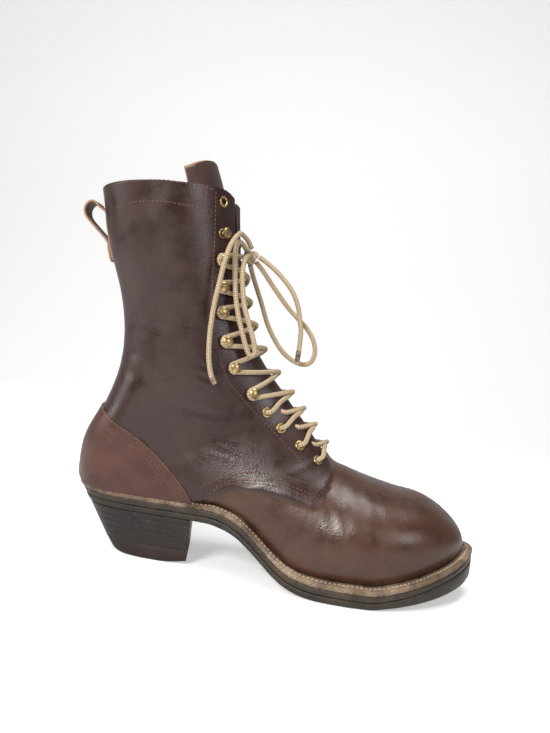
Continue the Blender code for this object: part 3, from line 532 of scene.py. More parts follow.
def heel_sides(z, inset=0.0):
    """Half curves of the heel at height z, with the breast cut slightly on the skew."""
    flat = [half[half[:, 0] < BREAST_X - 0.5] for half in inset_sides(EDGE, lambda x: 0.5 + inset)]
    closed = []
    for half in flat:
        edge = half[-1].copy()
        edge[0] = BREAST_X
        closed.append(np.vstack([half, edge]))
    result = rake(closed, SEAT_Z - z)
    middle = 0.5 * (result[0][0] + result[1][0])
    result[0][0] = middle
    result[1][0] = middle
    for half in result:
        skew = BREAST_SKEW * (half[:, 1] + BASE_FROM_HALF) / (2 * BASE_FROM_HALF)
        near = np.clip((half[:, 0] - 5.0) / (BREAST_X - 5.0), 0, 1)
        half[:, 0] = half[:, 0] - skew * near
    return result


def cap_floor(x):
    """Worn underside of the heel cap: a flat with its rear and breast edges eased up."""
    if x < FLAT_FROM_X:
        return CAP_REAR_RISE * ((FLAT_FROM_X - x) / (FLAT_FROM_X - BASE_BACK_X)) ** 1.5
    if x > FLAT_TO_X:
        return CAP_BREAST_RISE * ((x - FLAT_TO_X) / (BREAST_X - FLAT_TO_X)) ** 1.5
    return 0.0


# Edge of the quarters over the vamp, seen from the side: x, z, along the bottom and up the flap's front
QUARTER_LOWER = [(38, 38), (41, 47.5), (45.6, 53), (49.7, 55.8), (55.9, 59), (64.1, 61.7), (79.7, 63.8),
                 (101, 62.5), (123.7, 58.3)]
QUARTER_FRONT = [(123.7, 58.3), (130.3, 70.3), (134.1, 80.5), (132.6, 86.5), (129, 91), (125, 95)]
# Top edge of the heel counter, seen from the side: x, z
COUNTER_EDGE = [(-70, 116), (-46, 108), (-30.7, 100.3), (-14, 92.6), (2.6, 82), (14.1, 72.2),
                (24.9, 62.8), (32.7, 53.9), (38.5, 45), (41, 38)]


# Rounded front corner at the top of each facing, seen from the side
CORNER_X = 29.0
CORNER_Z = 264.6
CORNER_R = 10.6


def corner_outline():
    """What is cut away in front of and above the rounded corner."""
    arc = []
    for k in range(7):
        turn = math.radians(15 * k)
        arc.append((CORNER_X + CORNER_R * math.sin(turn), CORNER_Z + CORNER_R * math.cos(turn)))
    return arc + [(60.0, CORNER_Z), (60.0, 290.0), (CORNER_X, 290.0)]


def fair_curve(points, per_part):
    """Smooth curve through given points of any dimension."""
    p = np.array(points, float)
    p = np.vstack([2 * p[0] - p[1], p, 2 * p[-1] - p[-2]])
    out = []
    for i in range(1, len(p) - 2):
        for k in range(per_part):
            out.append(catmull(p[i - 1], p[i], p[i + 1], p[i + 2], k / per_part))
    out.append(p[-2])
    return np.array(out)


# Tongue
TONGUE_TOP_Z = 298.5
TONGUE_ROUND = 15.0
TONGUE_HALF = 38.0
TONGUE_LEAN = 18.0
TONGUE_LEAN_FROM_Z = 235.0
TONGUE_COLUMNS = 3
TONGUE_HEAD = (1.0, 0.85, 0.6, 0.3)

# Pull loop: free part of the folded strip between its two sewn layers, x, z
LOOP_ARC = [(-66.4, 256), (-69.6, 259.2), (-73, 259.8), (-76.2, 257.2), (-77.4, 252.6), (-75.6, 247.8),
            (-71, 243.3), (-66.4, 239.2)]
LOOP_WIDTH = 15.0
LOOP_THICK = 1.4
LOOP_FALL = 1.2

# Fittings of one side, top of the shaft to the throat: name, row number, distance behind the facing's edge
FITTINGS = [
    ("eyelet_top", 0.25, 13.5), ("hook_1", 0.87, 14), ("hook_2", 1.40, 15.8), ("hook_3", 1.97, 15.6),
    ("hook_4", 2.67, 15.2), ("hook_5", 3.60, 14.6), ("hook_6", 4.55, 15), ("hook_7", 5.85, 14.5),
    ("eyelet_1", 7.15, 13.2), ("eyelet_2", 8.70, 13.2), ("eyelet_3", 10.05, 12.6), ("eyelet_4", 11.25, 11.4),
]
SIDES = (("lateral", -1), ("medial", 1))

# Lace: heights of its centreline over the skin, the knot's middle, and the routes of its hanging pieces
LACE_AT_FITTING = 4.4
LACE_AT_EDGE = 4.2
LACE_AT_RIDGE = 2.8
BRAID_PITCH = 3.2
BRAID_STRANDS = 4
KNOT = (53, -6, 232)
KNOT_SIZE = 1.45
LACE_END_LATERAL = [
    (53, -7.2, 238.2), (49.5, -12, 243.5), (45.5, -20.5, 246.2), (45.2, -28, 244.2), (43.8, -34.5, 240.5),
    (41.5, -39.5, 233), (39.5, -41.8, 222), (37.8, -42, 208), (36.2, -42, 194), (35.4, -41.6, 180),
    (35.6, -41.2, 165), (37, -40.6, 152), (39.8, -40, 142), (43, -39.8, 137),
]
LACE_LOOP_LATERAL = [
    (49.9, -9.7, 235.9), (47, -15.5, 239.4), (45, -23, 239.6), (44.2, -28, 233), (45.2, -29, 222),
    (46.8, -29, 210), (49, -29.2, 198), (52.4, -29.6, 186), (56.9, -29.8, 174), (61, -29.6, 164),
    (64, -28.6, 159.5), (67, -28.2, 161.8), (65.2, -28.6, 170), (60.4, -29, 182), (55.6, -28.8, 194),
    (52.6, -28, 207), (50.8, -26.6, 219), (50.9, -21, 228.5), (52.1, -12.3, 231.6),
]
LACE_LOOP_MEDIAL = [
    (53, -3.8, 226.1), (55.5, 3, 218.5), (59, 8, 210), (63.8, 10, 199.3), (71.5, 10, 181.9),
    (82.3, 10, 166.6), (92, 10, 159.1), (101.2, 10, 156.4), (107.4, 10, 158.9), (109.7, 10, 166.8),
    (107.5, 10, 175.3), (102, 10, 183.5), (94.6, 10, 190.1), (84.7, 9, 198.6), (72, 6, 212.4),
    (62.9, 1.5, 223.2), (57, -2, 229),
]
LACE_END_MEDIAL = [
    (59.2, -5.4, 232.6), (65.5, -4, 229.2), (75.6, -3, 222), (86.3, -2, 211.3), (92.3, -1, 200.5),
    (95.2, 0, 190.2), (97.1, 0, 181.6), (97.5, 0, 168.9), (97.2, 0, 158.8),
]


def tongue_grid(height):
    """The skin moved in by height, with the tongue's head drawn up above the collar and leant back."""
    body = offset_grid(height)[:ROWS.index(ROW["instep"]) + 5]
    head = []
    for share in TONGUE_HEAD:
        row = body[0].copy()
        for point in row:
            spread = min(abs(point[1]) / TONGUE_HALF, 1.3)
            top = TONGUE_TOP_Z - TONGUE_ROUND * spread ** 2.6
            point[2] += (top - point[2]) * share
        head.append(row)
    grid = np.vstack([np.array(head), body])
    above = np.clip((grid[:, :, 2] - TONGUE_LEAN_FROM_Z) / (TONGUE_TOP_Z - TONGUE_LEAN_FROM_Z), 0, None)
    grid[:, :, 0] -= TONGUE_LEAN * above ** 1.6
    return grid


def angle_behind(s, side, distance):
    """Angle of the place that lies this far behind the facing's front edge."""
    edge = skin_point(s, side, slot_angle(s, side))
    low, high = 0.0, slot_angle(s, side)
    for _ in range(30):
        middle = 0.5 * (low + high)
        if np.linalg.norm(skin_point(s, side, middle) - edge) > distance:
            low = middle
        else:
            high = middle
    return 0.5 * (low + high)


def seat_frame(tree, s, side, distance, radius):
    """Axis frame of a fitting on the facing, lifted until its whole foot is clear of the leather."""
    angle = angle_behind(s, side, distance)
    point = Vector(skin(s, side, angle, QUARTER_STEP)) * MM
    normal = Vector(skin_normal(s, side, angle))
    across = normal.orthogonal().normalized()
    other = normal.cross(across)
    lift = 0.0
    for k in range(9):
        turn = 2 * math.pi * k / 8
        reach = 0.0 if k == 8 else radius * MM
        start = point + (across * math.cos(turn) + other * math.sin(turn)) * reach + normal * 8 * MM
        hit = tree.ray_cast(start, -normal)[0]
        if hit is not None:
            lift = max(lift, (hit - point).dot(normal) / MM)
    turn = Matrix((across, other, normal)).transposed().to_4x4()
    return Matrix.Translation(point + normal * (lift + GAP) * MM) @ turn


# Creases pressed in, seen from the side: from x, z, to x, z, depth, half width
CREASES = [
    (46, 97, 74, 88, 0.9, 1.6), (50, 102, 78, 92, 0.7, 1.5), (44, 91, 66, 84, 0.6, 1.5),
    (24, 143, 46, 136, 0.8, 1.8), (20, 150, 42, 145, 0.6, 1.8), (-28, 138, 2, 130, 0.7, 2.6),
    (-32, 152, -4, 149, 0.6, 3), (-26, 172, 6, 168, 0.4, 3.2), (8, 118, 52, 112, 0.5, 2.4),
    (142, 76, 150, 44, 0.7, 3), (152, 74, 162, 40, 0.6, 3.4), (134, 62, 142, 40, 0.5, 2.6),
    (166, 68, 172, 44, 0.4, 3), (84, 56, 98, 40, 0.5, 2.6), (70, 80, 110, 72, 0.3, 4),
]
CREASE_SHARE = 0.55
# Rows of stitches, seen from the side: x, z
STITCH_ROWS = [
    # three along the quarters' lower edge
    [(47.9, 57), (60.7, 66), (78.8, 69), (100, 69.3), (121.2, 64.9)],
    [(50.5, 59.6), (62, 68.4), (79, 71.4), (100, 71.7), (120.6, 67.3)],
    [(41.6, 59.6), (56, 70.2), (77.9, 76.8), (99.2, 77), (117.5, 73.2)],
    # up the front of the flap
    [(122.5, 61.5), (128, 71.2), (131.4, 80.5), (130.2, 85.6)],
    # down behind the fittings
    [(24.9, 272), (27.8, 242.3), (29.6, 218.5), (31.2, 198.7), (35.3, 181.4), (40.7, 160.4), (48.7, 141.1),
     (61.6, 127.4), (80.4, 110.8), (100.3, 94.7), (112.7, 84.6), (120.3, 76.5)],
    # two below the collar
    [(-42.7, 251.1), (-26.5, 255.5), (-10.5, 257.4), (4.4, 257.6), (19.4, 257.4)],
    [(-46, 267.4), (-28, 270.4), (-10.5, 271.6), (4.4, 272), (24, 272.2)],
]
# Distances of the counter's rows below its top edge
COUNTER_INSETS = (3, 5.4, 10)
STITCH_PITCH = 3.1
STITCH_LONG = 2.2
STITCH_SIDES = 6
STITCH_DIP = 0.25
STITCH_RISE = 0.22
UPPER_STITCH_R = 0.42
WELT_STITCH_R = 0.6
WELT_STITCH_FROM_X = 30

# Camera: turn, tilt and roll in degrees, place, focal length and picture height in pixels
CAMERA_TURN, CAMERA_TILT, CAMERA_ROLL = 3.62, 2.65, 7.29
CAMERA_AT = (111.56, -483.37, 175.02)
CAMERA_FOCAL, CAMERA_HEIGHT = 636.47, 733.0
SENSOR_HEIGHT = 24.0

# Studio, in metres: a paper floor with a curved rise, area lights, and a white world that lights dimly
FLOOR_FRONT, FLOOR_BEND, WALL_TOP, FLOOR_HALF = -3.0, 0.9, 4.0, 4.0
FLOOR_DROP = 0.3
FLOOR_GREY = (0.80, 0.80, 0.80, 1.0)
FLOOR_GLOW = 0.42
WORLD_DIM = 0.22
WHITE = (1.0, 1.0, 1.0, 1.0)
LIGHTS_AIM = (0.06, 0.0, 0.13)
# name, place, size, power, colour
LIGHTS = [
    ("key", (-0.42, -1.15, 0.85), 0.40, 18.0, (1.0, 0.98, 0.95)),
    ("front_fill", (1.2, -1.1, 0.8), 0.6, 6.0, (0.97, 0.98, 1.0)),
    ("left_strip", (-1.2, -0.2, 0.5), 0.4, 4.0, (1.0, 1.0, 1.0)),
    ("top", (0.25, -0.1, 1.5), 0.7, 12.0, (1.0, 1.0, 1.0)),
]


def smoothstep(x):
    x = np.clip(x, 0.0, 1.0)
    return x * x * (3 - 2 * x)


def segment_distance(px, pz, a, b):
    """Distance of points from the segment a b, and how far along it they lie."""
    ax, az = a
    bx, bz = b
    length2 = (bx - ax) ** 2 + (bz - az) ** 2
    t = np.clip(((px - ax) * (bx - ax) + (pz - az) * (bz - az)) / length2, 0, 1)
    return np.hypot(px - ax - t * (bx - ax), pz - az - t * (bz - az)), t


def inside(px, pz, polygon):
    """True where a point lies in the side-view polygon."""
    result = np.zeros(np.shape(px), bool)
    count = len(polygon)
    for k in range(count):
        x0, z0 = polygon[k]
        x1, z1 = polygon[(k + 1) % count]
        crosses = (z0 > pz) != (z1 > pz)
        at = x0 + (pz - z0) * (x1 - x0) / (z1 - z0 if z1 != z0 else 1e-9)
        result ^= crosses & (px < at)
    return result


VAMP_EDGE = [tuple(p) for p in fair_curve(QUARTER_LOWER, 4)[:-1]]
VAMP_EDGE += [tuple(p) for p in fair_curve(QUARTER_FRONT, 4)]
VAMP_REGION = VAMP_EDGE + [(128.0, 115.0), (262.0, 115.0), (262.0, 0.0), (38.0, 0.0)]


def quarter_share(px, pz):
    """1 on the quarters, 0 on the vamp, with a short slope at the quarters' edge."""
    near = np.full(np.shape(px), 1e9)
    for a, b in zip(VAMP_EDGE, VAMP_EDGE[1:]):
        near = np.minimum(near, segment_distance(px, pz, a, b)[0])
    outside = ~inside(px, pz, VAMP_REGION)
    return np.where(outside, smoothstep(near / 1.3), 0.0)


def crease_depth(px, pz):
    total = np.zeros(np.shape(px))
    for x0, z0, x1, z1, depth, half in CREASES:
        away, along = segment_distance(px, pz, (x0, z0), (x1, z1))
        taper = np.sin(np.pi * np.clip(along, 0.06, 0.94))
        furrow = np.exp(-(away / half) ** 2)
        ridge = 0.45 * np.exp(-((away - 2.0 * half) / half) ** 2)
        total += taper * depth * (furrow - ridge)
    return total * CREASE_SHARE


def graph(tree):
    """Small helper that adds nodes to a tree and links them."""
    def add(kind, *inputs, **settings):
        node = tree.nodes.new(kind)
        for key, value in settings.items():
            setattr(node, key, value)
        for key, value in inputs:
            if isinstance(value, bpy.types.NodeSocket):
                tree.links.new(value, node.inputs[key])
            else:
                node.inputs[key].default_value = value
        return node
    return add


def ramp(add, factor, stops):
    node = add("ShaderNodeValToRGB", (0, factor))
    while len(node.color_ramp.elements) < len(stops):
        node.color_ramp.elements.new(0.5)
    for element, (place, value) in zip(node.color_ramp.elements, stops):
        element.position = place
        element.color = (value, value, value, 1.0)
    return node.outputs["Color"]


def mix(add, factor, a, b):
    node = add("ShaderNodeMix", data_type="RGBA")
    tree = node.id_data
    for socket, value in ((node.inputs[0], factor), (node.inputs[6], a), (node.inputs[7], b)):
        if isinstance(value, bpy.types.NodeSocket):
            tree.links.new(value, socket)
        elif socket.type == "RGBA":
            socket.default_value = (*value, 1.0)
        else:
            socket.default_value = value
    return node.outputs[2]


def calc(add, operation, a, b):
    return add("ShaderNodeMath", (0, a), (1, b), operation=operation).outputs[0]


def leather_group():
    """Mottled colour, grain, fine lines and rubbed places of finished leather."""
    tree = bpy.data.node_groups.new("leather_finish", "ShaderNodeTree")
    for name, value in (("Colour", (0.1, 0.04, 0.03, 1)), ("Light", (0.2, 0.1, 0.07, 1)),
                        ("Dark", (0.03, 0.015, 0.01, 1)), ("Mottle", 0.5), ("Grain", 1.0), ("Shine", 0.4)):
        kind = "NodeSocketFloat" if isinstance(value, float) else "NodeSocketColor"
        tree.interface.new_socket(name, in_out="INPUT", socket_type=kind).default_value = value
    for name, kind in (("Colour", "Color"), ("Roughness", "Float"), ("Height", "Float")):
        tree.interface.new_socket(name, in_out="OUTPUT", socket_type="NodeSocket" + kind)
    add = graph(tree)
    given = tree.nodes.new("NodeGroupInput").outputs
    out = tree.nodes.new("NodeGroupOutput")
    place = ("Vector", add("ShaderNodeTexCoord").outputs["Object"])
    broad = add("ShaderNodeTexNoise", place, ("Scale", 26.0), ("Detail", 5.0), ("Roughness", 0.6)).outputs[0]
    patch = add("ShaderNodeTexNoise", place, ("Scale", 80.0), ("Detail", 2.0), ("Roughness", 0.5)).outputs[0]
    pore = add("ShaderNodeTexNoise", place, ("Scale", 1500.0), ("Detail", 2.0)).outputs[0]
    cell = add("ShaderNodeTexVoronoi", place, ("Scale", 900.0)).outputs["Distance"]
    stretched = add("ShaderNodeMapping", place, ("Scale", (300.0, 300.0, 60.0))).outputs[0]
    line = add("ShaderNodeTexNoise", ("Vector", stretched), ("Scale", 1.0), ("Detail", 4.0)).outputs[0]
    light = calc(add, "MULTIPLY", ramp(add, broad, [(0.42, 0.0), (0.72, 1.0)]), given["Mottle"])
    dark = calc(add, "MULTIPLY", ramp(add, patch, [(0.22, 1.0), (0.56, 0.0)]), given["Mottle"])
    colour = mix(add, light, given["Colour"], given["Light"])
    colour = mix(add, dark, colour, given["Dark"])
    fleck = ramp(add, line, [(0.62, 0.0), (0.78, 0.3)])
    tree.links.new(mix(add, fleck, colour, given["Light"]), out.inputs["Colour"])
    spread = add("ShaderNodeMapRange", (0, patch), (1, 0.3), (2, 0.7), (3, -0.08), (4, 0.12)).outputs[0]
    tree.links.new(calc(add, "ADD", spread, given["Shine"]), out.inputs["Roughness"])
    height = calc(add, "ADD", calc(add, "MULTIPLY", cell, 0.55), calc(add, "MULTIPLY", pore, 0.35))
    height = calc(add, "ADD", height, calc(add, "MULTIPLY", line, 0.8))
    tree.links.new(calc(add, "MULTIPLY", height, given["Grain"]), out.inputs["Height"])
    return tree


LEATHER = leather_group()


def bare_material(name):
    material = bpy.data.materials.new(name)
    material.use_nodes = True
    return material, material.node_tree.nodes["Principled BSDF"], graph(material.node_tree)


def set_relief(add, shader, strength, height):
    relief = add("ShaderNodeBump", ("Strength", strength), ("Distance", 0.0006), ("Height", height))
    shader.id_data.links.new(relief.outputs[0], shader.inputs["Normal"])


def leather(name, colour, light, dark, mottle, grain, shine, bump, coat=0.0, second=None):
    """Leather; second, as attribute, colour, light and dark, gives the colours where the attribute is 0."""
    material, shader, add = bare_material(name)
    tree = material.node_tree
    finish = add("ShaderNodeGroup", node_tree=LEATHER)
    for key, value in (("Mottle", mottle), ("Grain", grain), ("Shine", shine)):
        finish.inputs[key].default_value = value
    if second:
        mask = add("ShaderNodeAttribute", attribute_name=second[0]).outputs["Fac"]
    for k, (key, value) in enumerate((("Colour", colour), ("Light", light), ("Dark", dark))):
        if second:
            tree.links.new(mix(add, mask, second[1 + k], value), finish.inputs[key])
        else:
            finish.inputs[key].default_value = (*value, 1.0)
    tree.links.new(finish.outputs["Colour"], shader.inputs["Base Color"])
    tree.links.new(finish.outputs["Roughness"], shader.inputs["Roughness"])
    shader.inputs["Coat Weight"].default_value = coat
    shader.inputs["Coat Roughness"].default_value = 0.3
    set_relief(add, shader, bump * 3, finish.outputs["Height"])
    return material


def braid(name, light, dark):
    """Braided lace: two sets of strands round the cord, from the cord's own braid attribute; the dark colour
    in the low places between the strands is painted shade.
    """
    material, shader, add = bare_material(name)
    vector = add("ShaderNodeAttribute", attribute_name="braid").outputs["Vector"]
    along, across, up = add("ShaderNodeSeparateXYZ", (0, vector)).outputs
    left = calc(add, "MULTIPLY", add("ShaderNodeMath", (0, along), operation="SINE").outputs[0], across)
    right = calc(add, "MULTIPLY", add("ShaderNodeMath", (0, along), operation="COSINE").outputs[0], up)
    over = calc(add, "MULTIPLY", calc(add, "ADD", left, right), calc(add, "SUBTRACT", left, right))
    shade = add("ShaderNodeMapRange", (0, over), (1, -1.0), (2, 1.0)).outputs[0]
    shade = ramp(add, shade, [(0.25, 0.0), (0.6, 1.0)])
    # painted shade: the dark colour goes where the braid's relief is low, between the strands
    material.node_tree.links.new(mix(add, shade, dark, light), shader.inputs["Base Color"])
    shader.inputs["Roughness"].default_value = 0.85
    set_relief(add, shader, 0.7, shade)
    return material


def aged_metal(name, colour, dark, metallic):
    material, shader, add = bare_material(name)
    place = ("Vector", add("ShaderNodeTexCoord").outputs["Object"])
    noise = add("ShaderNodeTexNoise", place, ("Scale", 420.0), ("Detail", 4.0)).outputs[0]
    mask = ramp(add, noise, [(0.38, 0.0), (0.62, 1.0)])
    rough = add("ShaderNodeMapRange", (0, noise), (3, 0.5), (4, 0.22)).outputs[0]
    material.node_tree.links.new(mix(add, mask, dark, colour), shader.inputs["Base Color"])
    material.node_tree.links.new(rough, shader.inputs["Roughness"])
    shader.inputs["Metallic"].default_value = metallic
    return material


# Leathers, rubber and thread: key, name, colour, light, dark; mottle, grain, shine, relief, coat, second
LEATHERS = [
    ("upper", "boot_leather", (0.029, 0.01, 0.0082), (0.058, 0.026, 0.021), (0.014, 0.0052, 0.0044),
     0.5, 1, 0.31, 0.08, 0.15,
     ("quarter", (0.056, 0.02, 0.0098), (0.105, 0.047, 0.025), (0.021, 0.01, 0.0052))),
    ("counter", "counter_leather", (0.062, 0.0165, 0.0098), (0.12, 0.042, 0.026), (0.026, 0.008, 0.005),
     0.5, 1, 0.36, 0.1, 0.1),
    ("raw", "raw_edge", (0.3, 0.17, 0.095), (0.48, 0.32, 0.21), (0.12, 0.06, 0.035),
     0.7, 1.5, 0.75, 0.2),
    ("dark_edge", "inked_edge", (0.03, 0.014, 0.01), (0.08, 0.04, 0.03), (0.012, 0.006, 0.005),
     0.5, 1, 0.5, 0.1),
    ("tongue", "tongue_leather", (0.046, 0.0185, 0.0145), (0.1, 0.05, 0.038), (0.018, 0.008, 0.007),
     0.5, 1.2, 0.45, 0.1),
    ("loop", "loop_leather", (0.085, 0.04, 0.025), (0.22, 0.13, 0.085), (0.028, 0.014, 0.01),
     0.7, 1.4, 0.5, 0.14),
    ("welt", "welt_leather", (0.2, 0.13, 0.08), (0.48, 0.36, 0.25), (0.045, 0.028, 0.018),
     1, 3, 0.85, 0.4),
    ("mid", "midsole_edge", (0.026, 0.0165, 0.009), (0.075, 0.05, 0.029), (0.008, 0.0055, 0.0038),
     0.8, 1.4, 0.42, 0.16),
    ("out", "outsole_edge", (0.017, 0.0118, 0.0065), (0.05, 0.036, 0.021), (0.006, 0.0045, 0.0034),
     0.8, 1.4, 0.46, 0.16),
    ("lift", "stacked_heel", (0.0085, 0.0048, 0.0036), (0.022, 0.0125, 0.009), (0.0042, 0.0026, 0.0022),
     0.8, 1.2, 0.36, 0.14),
    ("cap", "heel_cap", (0.013, 0.0045, 0.0038), (0.034, 0.012, 0.009), (0.007, 0.003, 0.0028),
     0.8, 1.2, 0.48, 0.14),
    ("insole", "insole_leather", (0.3, 0.19, 0.11), (0.42, 0.29, 0.19), (0.15, 0.09, 0.055),
     0.6, 1, 0.7, 0.1),
    ("thread", "thread", (0.12, 0.052, 0.034), (0.2, 0.105, 0.072), (0.03, 0.013, 0.009),
     0.4, 1, 0.6, 0.1),
    ("welt_thread", "welt_thread", (0.38, 0.28, 0.18), (0.58, 0.46, 0.33), (0.15, 0.1, 0.06),
     0.8, 1, 0.8, 0.1),
]
MAT = {key: leather(*row) for key, *row in LEATHERS}
# the lace's second, dark colour is painted shade for the grooves between the strands
MAT["lace"] = braid("lace_braid", (0.56, 0.44, 0.28), (0.2, 0.135, 0.075))
MAT["tip"] = aged_metal("lace_tip", (0.3, 0.22, 0.14), (0.09, 0.06, 0.035), 0.3)
MAT["brass"] = aged_metal("aged_brass", (0.62, 0.45, 0.21), (0.17, 0.11, 0.055), 1.0)


def finish(obj, first, second=None, nodes=(), slot=None, angle=50):
    """Give a piece its materials, ride it on the body and let it stand for its CAD nodes."""
    slots = [min(polygon.material_index, 1) for polygon in obj.data.polygons]
    obj.data.materials.clear()
    obj.data.materials.append(MAT[first])
    obj.data.materials.append(MAT[second or first])
    obj.data.polygons.foreach_set("material_index", slots)
    obj.data.shade_smooth()
    obj.data.set_sharp_from_angle(angle=math.radians(angle))
    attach(obj, "root")
    if nodes:
        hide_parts(*nodes)
    return obj


def boolean(obj, cutter, operation):
    """Cut by a closed mesh, which is then taken away."""
    modifier = obj.modifiers.new("cut", "BOOLEAN")
    modifier.operation = operation
    modifier.solver = "MANIFOLD"
    modifier.object = cutter
    graph_now = bpy.context.evaluated_depsgraph_get()
    mesh = bpy.data.meshes.new_from_object(obj.evaluated_get(graph_now), depsgraph=graph_now)
    obj.modifiers.clear()
    obj.data = mesh
    bpy.data.objects.remove(cutter)


def add_camera():
    turn, tilt, roll = (math.radians(v) for v in (CAMERA_TURN, CAMERA_TILT, CAMERA_ROLL))
    right = Vector((math.cos(turn), math.sin(turn), 0.0))
    back = Vector((math.sin(turn) * math.cos(tilt), -math.cos(turn) * math.cos(tilt), math.sin(tilt)))
    up = back.cross(right)
    rolled_right = right * math.cos(roll) + up * math.sin(roll)
    rolled_up = up * math.cos(roll) - right * math.sin(roll)
    data = bpy.data.cameras.new("camera")
    data.sensor_fit = "VERTICAL"
    data.sensor_height = SENSOR_HEIGHT
    data.lens = SENSOR_HEIGHT * CAMERA_FOCAL / CAMERA_HEIGHT
    data.clip_start = 0.01
    camera = link_object("camera", data)
    turned = Matrix((rolled_right, rolled_up, back)).transposed().to_4x4()
    camera.matrix_world = Matrix.Translation(Vector(CAMERA_AT) * MM) @ turned
    bpy.context.scene.camera = camera


def add_floor():
    bend = FLOOR_BEND
    profile = [(FLOOR_FRONT, 0.0), (bend, 0.0)]
    for a in np.linspace(0.1, math.pi / 2, 12):
        profile.append((bend + bend * math.sin(a), bend - bend * math.cos(a)))
    profile.append((2 * bend, WALL_TOP))
    verts = [(x / MM, y / MM, z / MM - FLOOR_DROP) for x in (-FLOOR_HALF, FLOOR_HALF) for y, z in profile]
    count = len(profile)
    floor = new_mesh_object("floor", verts, [[k, k + 1, count + k + 1, count + k] for k in range(count - 1)])
    material, shader, add = bare_material("floor_paper")
    shader.inputs["Base Color"].default_value = FLOOR_GREY
    shader.inputs["Roughness"].default_value = 0.9
    glow = calc(add, "MULTIPLY", add("ShaderNodeLightPath").outputs["Is Camera Ray"], FLOOR_GLOW)
    shader.inputs["Emission Color"].default_value = WHITE
    material.node_tree.links.new(glow, shader.inputs["Emission Strength"])
    floor.data.materials.append(material)


def add_studio():
    add_floor()
    for name, place, size, power, colour in LIGHTS:
        data = bpy.data.lights.new(name, "AREA")
        data.size = size
        data.energy = power
        data.color = colour
        light = link_object(name, data)
        light.location = place
        light.rotation_euler = (Vector(LIGHTS_AIM) - Vector(place)).to_track_quat("-Z", "Y").to_euler()
    world = bpy.data.worlds.new("studio")
    bpy.context.scene.world = world
    world.use_nodes = True
    background = world.node_tree.nodes["Background"]
    background.inputs[0].default_value = WHITE
    add = graph(world.node_tree)
    seen = add("ShaderNodeLightPath").outputs["Is Camera Ray"]
    strength = add("ShaderNodeMapRange", (0, seen), (3, WORLD_DIM), (4, 1.0)).outputs[0]
    world.node_tree.links.new(strength, background.inputs[1])
    bpy.context.scene.view_settings.view_transform = "Standard"


def unit_tangents(points):
    tangent = np.gradient(points, axis=0)
    return tangent / np.linalg.norm(tangent, axis=1)[:, None]


def circle(point, across, up, radius, sides):
    turns = [2 * math.pi * k / sides for k in range(sides)]
    return [point + radius * (math.cos(t) * across + math.sin(t) * up) for t in turns]


def tube_mesh(name, path, radius, sides=12):
    """Round tube along a path, with its braid attribute: length phase and turn round the cord."""
    path = np.array(path, float)
    tangents = np.gradient(path, axis=0)
    across = np.cross(tangents[0], (0.31, 0.12, 0.94))
    loops = []
    marks = []
    for point, tangent, at in zip(path, tangents, run_of(path)):
        tangent = tangent / np.linalg.norm(tangent)
        across = across - tangent * np.dot(across, tangent)
        across /= np.linalg.norm(across)
        loops.append(circle(point, across, np.cross(tangent, across), radius, sides))
        for k in range(sides):
            turn = BRAID_STRANDS * 2 * math.pi * k / sides
            marks.append((at * 2 * math.pi / BRAID_PITCH, math.cos(turn), math.sin(turn)))
    obj = skewer(name, loops)
    layer = obj.data.attributes.new("braid", "FLOAT_VECTOR", "POINT")
    if len(obj.data.vertices) == len(marks):
        for item, mark in zip(layer.data, marks):
            item.vector = mark
    return obj


def add_sole():
    """Outsole, midsole, welt and insole, each through levels of inset and height."""
    levels = [(1.4, 0.0, 0.0), (0.5, 0.35, 0.0), (0.0, 1.3, 0.0),
              (0.0, OUTSOLE - 0.7, 1.0), (0.25, OUTSOLE - 0.2, 1.0), (0.7, OUTSOLE, 1.0)]
    out = slab("outsole_body", [sole_level(*level) for level in levels])
    finish(out, "out", nodes=("outsole",), slot="sole_rubber", angle=60)
    low = OUTSOLE + GAP
    high = low + MIDSOLE
    levels = [(0.9, low - 0.1), (0.45, low + 0.3), (0.3, low + 0.8),
              (0.3, high - 0.8), (0.45, high - 0.3), (0.9, high + 0.1)]
    mid = slab("midsole_body", [sole_level(*level) for level in levels])
    finish(mid, "mid", nodes=("midsole",), slot="sole_leather", angle=60)
    low = high + GAP
    high = low + WELT
    levels = [(0.7, low - 0.1), (0.2, low + 0.4), (0.0, low + 1.2),
              (0.1, high - 0.8), (0.5, high - 0.2), (1.2, high)]
    loops = [loop_of(sole_level(*level)) for level in levels]
    loops += [loop_of(inner_level(0.7, rise)) for rise in (high, low)]
    finish(tube("welt_body", loops), "welt", nodes=("welt",), slot="welt_leather", angle=60)
    top = high + INSOLE_RISE
    levels = [(1.0, low + 0.7), (1.0, top - 1.0), (2.0, top)]
    insole = slab("insole_body", [inner_level(*level) for level in levels])
    finish(insole, "insole", nodes=("insole",), slot="insole_leather", angle=60)


def add_heel():
    top = CAP_TOP_Z
    cap = slab("heel_cap_body", [
        lift_sides(heel_sides(0.0, 0.9), cap_floor),
        lift_sides(heel_sides(0.4, 0.3), lambda x: cap_floor(x) + 0.4),
        lift_sides(heel_sides(1.2), lambda x: cap_floor(x) + 1.2),
        lift_sides(heel_sides(top - 0.7), lambda x: top - 0.7),
        lift_sides(heel_sides(top - 0.1, 0.5), lambda x: top - 0.1),
    ])
    finish(cap, "cap", nodes=("heel_cap",), slot="sole_rubber", angle=60)
    thick = (HEEL_TOP_Z - top) / LIFTS
    for k in range(LIFTS):
        node = "heel_lift_%d" % (k + 1)
        low = top + k * thick
        high = low + thick - 0.05
        rows = [(low, 0.3), (low + 0.35, 0.05), (high - 0.35, 0.05), (high, 0.3)]
        lift = slab(node + "_body", [lift_sides(heel_sides(z, inset), lambda x, z=z: z) for z, inset in rows])
        finish(lift, "lift", nodes=(node,), slot="heel_leather", angle=60)


